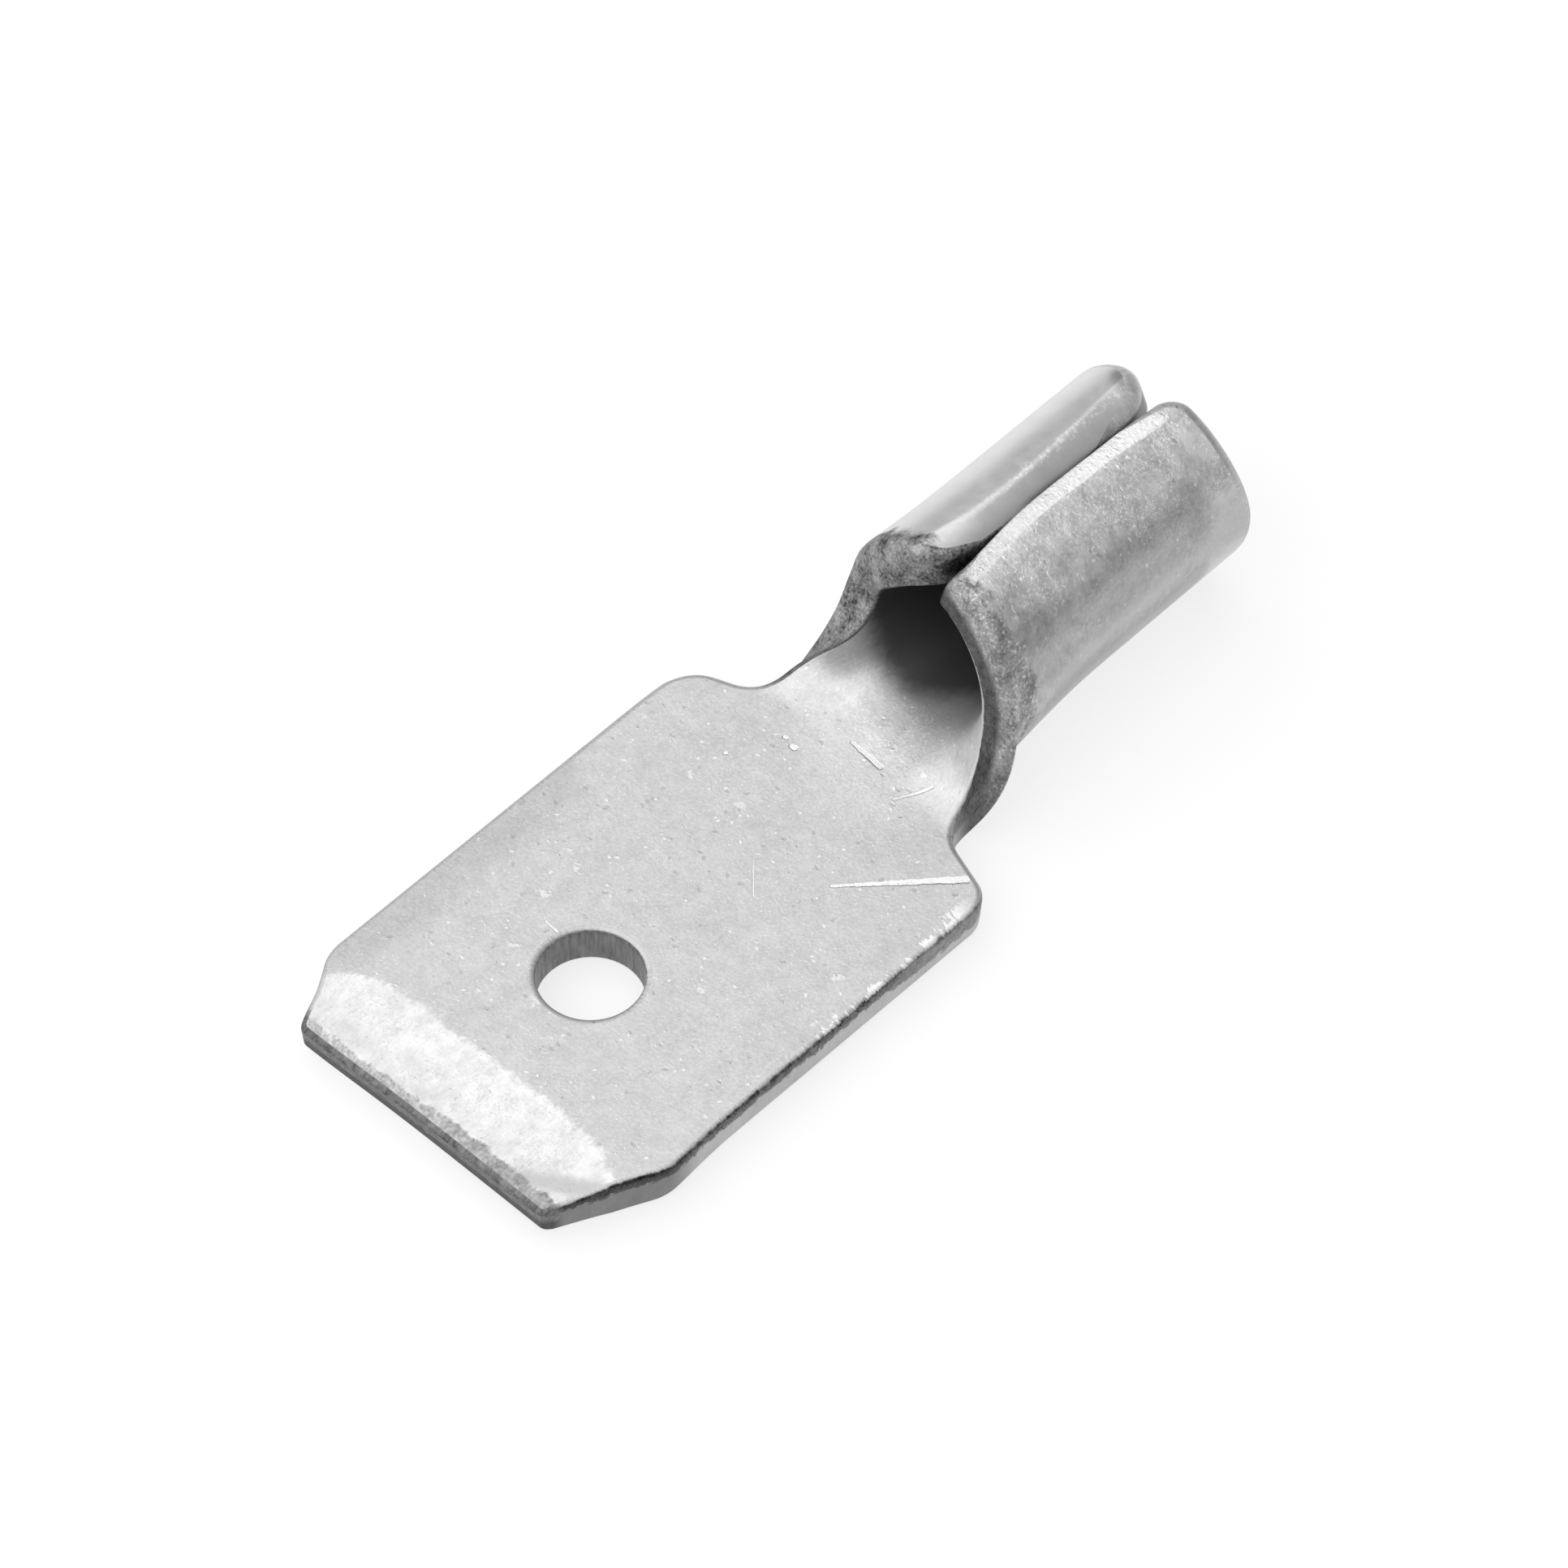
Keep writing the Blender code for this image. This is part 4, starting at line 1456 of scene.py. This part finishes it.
def edge_highlight_mask(tree, plan, distance):
    """Mask of the painted highlight along the blade's right edge: ragged patches made of
    short ticks that run across the border."""
    part = split(tree, plan)
    patch = noise(tree, plan, 2.2, 2.0)
    ticks = noise(tree, vector_maths(tree, "MULTIPLY", plan, (1.0, 0.30, 1.0)), 16.0, 2.0)
    grown = total(tree, patch, product(tree, ticks, 0.9))
    reach = ramp(tree, grown, 0.82, 1.12, 0.0, 0.30)
    inside = ramp(tree, less(tree, reach, distance), 0.0, 0.06)
    along = product(tree, ramp(tree, part["X"], 4.2, 5.2), ramp(tree, part["X"], 8.4, 7.9))
    return product(tree, inside, along, ramp(tree, part["Y"], -2.6, -2.9))


# The rubbed edge is a painted highlight.
print("inside of the barrel:", BORE_SHADE_TONE, "rubbed edge:", EDGE_HIGHLIGHT_TONE)

# %% [markdown]
# ## The face material
#
# The layers go on one over the other, from the plain tin to the single scratches. Tin is a
# metal, so its tone is the colour of its reflection. Rough places spread the reflection and
# burnished ones keep it together. The bump gives the grain its height.

# %% Build the face material
GRAIN_HEIGHT = 0.006 * MM
FACE_ROUGH = 0.36
NECK_ROUGH = 0.54
DRAGGED_ROUGH = 0.55
BURNISHED_ROUGH = 0.30


def new_metal(name):
    """A material that is a metal all over, and its tree."""
    material = bpy.data.materials.new(name)
    material.use_nodes = True
    tree = material.node_tree
    tree.nodes["Principled BSDF"].inputs["Metallic"].default_value = 1.0
    return material, tree


def link_metal(tree, tone, rough, relief):
    """Links a grey tone, a roughness and a relief to the shader."""
    shader = tree.nodes["Principled BSDF"].inputs
    colour = add_node(tree, "ShaderNodeCombineColor", Red=tone, Green=tone, Blue=tone)
    bump = add_node(tree, "ShaderNodeBump", Height=relief, Distance=GRAIN_HEIGHT, Strength=1.0)
    tree.links.new(colour.outputs["Color"], shader["Base Color"])
    tree.links.new(rough, shader["Roughness"])
    tree.links.new(bump.outputs["Normal"], shader["Normal"])


def tinned_face():
    """Colour, roughness and bump of the sheet's two faces."""
    material, tree = new_metal("tinned_face")
    at = face_places(tree)
    lively = liveliness(tree, at)
    tone, relief = plain_tin(tree, at, lively)
    # Soft patches: the tin's own dull and bright areas, with painted highlight and painted shade.
    tone = add_patches(tree, at.plan, tone, at.upper, UPPER_TONE_AND_LIGHT_PATCHES)
    tone = add_patches(tree, at.plan, tone, at.lower, LOWER_TONE_AND_LIGHT_PATCHES)
    tone, bevel = burnished_tip(tree, at, tone)
    tone, dragged, grain = wing_fronts(tree, at, tone)
    tone, lip = seam_finish(tree, at, tone)
    # Painted shade inside the barrel.
    tone = bore_painted_shade(tree, at, tone)
    # Painted highlight along the blade's right edge.
    painted_edge_highlight = product(tree, edge_highlight_mask(tree, at.plan, at.edge_distance), at.upper)
    tone = blend(tree, painted_edge_highlight, tone, EDGE_HIGHLIGHT_TONE)
    tone, strokes = add_strokes(tree, at.plan, tone, at.upper)

    rough = clouded(tree, at, FACE_ROUGH, middle=0.25)
    in_neck = product(tree, at.upper, ramp(tree, at.x, 9.4, 10.2))
    rough = blend(tree, in_neck, rough, NECK_ROUGH)
    rough = blend(tree, dragged, rough, DRAGGED_ROUGH)
    rough = blend(tree, highest(tree, lip, bevel), rough, BURNISHED_ROUGH)
    relief = blend(tree, dragged, less(tree, relief, strokes), product(tree, grain, 2.0))
    link_metal(tree, tone, rough, relief)
    return material


mesh.materials.append(tinned_face())
print("face material nodes:", len(bpy.data.materials["tinned_face"].node_tree.nodes))

# %% [markdown]
# ## The finish of the sheared edge
#
# Shearing leaves two bands. Below the rounded upper corner the metal tears: a dark, pitted
# band with a frayed border. Under it the tool slid along and left a smoother, brighter band
# with fine lines from top to bottom. In the hole and at the neck the whole wall is dark, at
# the neck partly as painted shade, and at the barrel's rear it is evenly pale, with painted
# shade in the gap beside the left wing's rear corner. The rounded corner above keeps its tin,
# and along the blade's right edge it carries a painted highlight.

# %% Torn and slid band
TORN_TIN = 0.13
DARKEST_TORN = 0.03
SLID_TIN = 0.52


def cut_bands(tree, at):
    """The torn band over the slid one. The torn band is narrow and dark in front, and from
    the middle of the blade on it is wider and paler."""
    towards_rear = ramp(tree, at.x, 6.0, 7.2)
    slid = clouded(tree, at, SLID_TIN, lines=0.14, broad=0.20, middle=0.12)
    torn = clouded(tree, at, TORN_TIN, middle=0.50, fine=0.45)
    torn = highest(tree, total(tree, torn, product(tree, towards_rear, 0.12)), DARKEST_TORN)
    border = clouded(tree, at, at.height, middle=0.36, broad=0.26, fine=0.14)
    border = total(tree, border, product(tree, towards_rear, 0.16))
    tone = blend(tree, ramp(tree, border, 0.12, 0.19), slid, torn)
    chamfer = product(tree, ramp(tree, at.x, 2.6, 1.8), ramp(tree, at.y, -1.0, -2.0))
    return product(tree, tone, blend(tree, chamfer, 1.0, 0.45))


print("torn band:", TORN_TIN, "slid band:", SLID_TIN)

# %% Hole, neck and rear
HOLE_TIN = 0.20
# The neck's wall tone is partly painted shade.
NECK_TONE_AND_SHADE = 0.12
REAR_TIN = 0.52


def hole_and_neck(tree, at, tone):
    """The dark walls of the hole and of the neck, the neck's partly painted shade, and the paler
    one at the rear, with painted shade in the gap beside the left wing's rear corner. On the
    wings' fronts the face's dragged metal runs on over the rounded corner."""
    from_hole = vector_maths(tree, "SUBTRACT", at.plan, (HOLE_FROM_TIP / MM, AXIS_TO_LEFT / MM, 0))
    hole = ramp(tree, vector_maths(tree, "LENGTH", from_hole, result="Value"), 1.1, 1.0)
    tone = blend(tree, hole, tone, clouded(tree, at, HOLE_TIN, lines=0.35))
    # The neck's dark wall: sheared metal and painted shade of the rolled neck.
    neck_tone = clouded(tree, at, NECK_TONE_AND_SHADE, middle=0.30, fine=0.25)
    tone = blend(tree, ramp(tree, at.x, 9.1, 9.6), tone, neck_tone)
    rear_tone = clouded(tree, at, REAR_TIN, middle=0.40, fine=0.35)
    rear_tone = product(tree, rear_tone, blend(tree, at.rear_left, 1.0, 1.25))
    tone = blend(tree, ramp(tree, at.x, 14.0, 15.0), tone, rear_tone)
    # Painted shade in the gap beside the left wing's rear corner.
    gap = product(tree, at.rear_left, ramp(tree, at.height, -0.22, -0.02), ramp(tree, at.x, 15.8, 15.5))
    tone = product(tree, tone, blend(tree, gap, 1.0, 0.35))
    front_tone, _ = rough_front(tree, at.y)
    outside = ramp(tree, at.height, 0.1, -0.1)
    left_front = product(tree, ramp(tree, at.y, 0.0, 0.5), ramp(tree, at.height, 0.36, 0.30))
    rolled_over = highest(tree, outside, left_front)
    rolled_over = product(tree, rolled_over, ramp(tree, at.x, 9.6, 10.3), ramp(tree, at.x, 13.0, 12.5))
    return blend(tree, rolled_over, tone, front_tone)


print("walls of the hole, neck and rear:", HOLE_TIN, NECK_TONE_AND_SHADE, REAR_TIN)

# %% Build the edge material
# Sizes of the wall's clouds and of its upright lines, in millimetres.
WALL_CLOUDS = {"broad": 0.6, "middle": 0.14, "fine": 0.04}
LINE_SIZE = 0.06
NOSE_WALL_TIN = 0.18
NOSE_FOOT_TIN = 0.08
DARKEST_NOSE = 0.04
CORNER_TIN = 0.60
# The rounded corner counts as this far from the outline, in millimetres.
CORNER_INSET = 0.05
EDGE_ROUGH = 0.45


def sheared_edge():
    """Colour, roughness and bump of the cut walls."""
    material, tree = new_metal("sheared_edge")
    at = SimpleNamespace()
    part = split(tree, read_attribute(tree, "flat"))
    at.x, at.y = part["X"], part["Y"]
    at.plan = add_node(tree, "ShaderNodeCombineXYZ", X=at.x, Y=at.y).outputs["Vector"]
    wall = read_attribute(tree, "wall")
    at.height = split(tree, wall)["Y"]
    for name, size in WALL_CLOUDS.items():
        setattr(at, name, use_group(tree, CLOUDS, "Shade", Place=wall, Size=size))
    upright = vector_maths(tree, "MULTIPLY", wall, (1.0, 0.12, 1.0))
    at.lines = use_group(tree, CLOUDS, "Shade", Place=upright, Size=LINE_SIZE)
    at.rear_left = product(tree, ramp(tree, at.x, 13.6, 14.4), ramp(tree, at.y, 2.0, 3.0))
    tone = hole_and_neck(tree, at, cut_bands(tree, at))

    nose = ramp(tree, at.x, 0.35, 0.15)
    nose_tone = highest(tree, clouded(tree, at, NOSE_WALL_TIN, middle=0.45, fine=0.3), DARKEST_NOSE)
    low_line = ramp(tree, clouded(tree, at, at.height, middle=0.25), 0.05, -0.07)
    tone = blend(tree, nose, tone, blend(tree, low_line, nose_tone, NOSE_FOOT_TIN))

    # The rounded upper corner shines where it was rubbed.
    torn_off = product(tree, ramp(tree, at.y, -2.4, -2.8), ramp(tree, at.x, 8.6, 8.2), 0.022)
    rubbed = less(tree, clouded(tree, at, at.height, middle=0.06), torn_off)
    corner = ramp(tree, rubbed, 0.305, 0.330)
    in_mouth = product(tree, ramp(tree, at.x, 8.9, 9.3), ramp(tree, at.y, 0.0, 0.5))
    corner = product(tree, corner, less(tree, 1.0, nose), less(tree, 1.0, in_mouth))
    tone = blend(tree, corner, tone, CORNER_TIN)
    # The painted highlight of the blade's right edge, on the upper half of the rounded corner.
    above_tear = ramp(tree, clouded(tree, at, at.height, fine=0.08), 0.325, 0.345)
    painted_edge_highlight = product(tree, edge_highlight_mask(tree, at.plan, CORNER_INSET), above_tear)
    tone = blend(tree, painted_edge_highlight, tone, EDGE_HIGHLIGHT_TONE)
    lines = product(tree, at.lines, less(tree, 1.0, at.rear_left))
    relief = total(tree, clouded(tree, at, at.fine, middle=2.0), lines)
    link_metal(tree, tone, clouded(tree, at, EDGE_ROUGH, middle=0.3), relief)
    return material


mesh.materials.append(sheared_edge())
print("edge material nodes:", len(bpy.data.materials["sheared_edge"].node_tree.nodes))
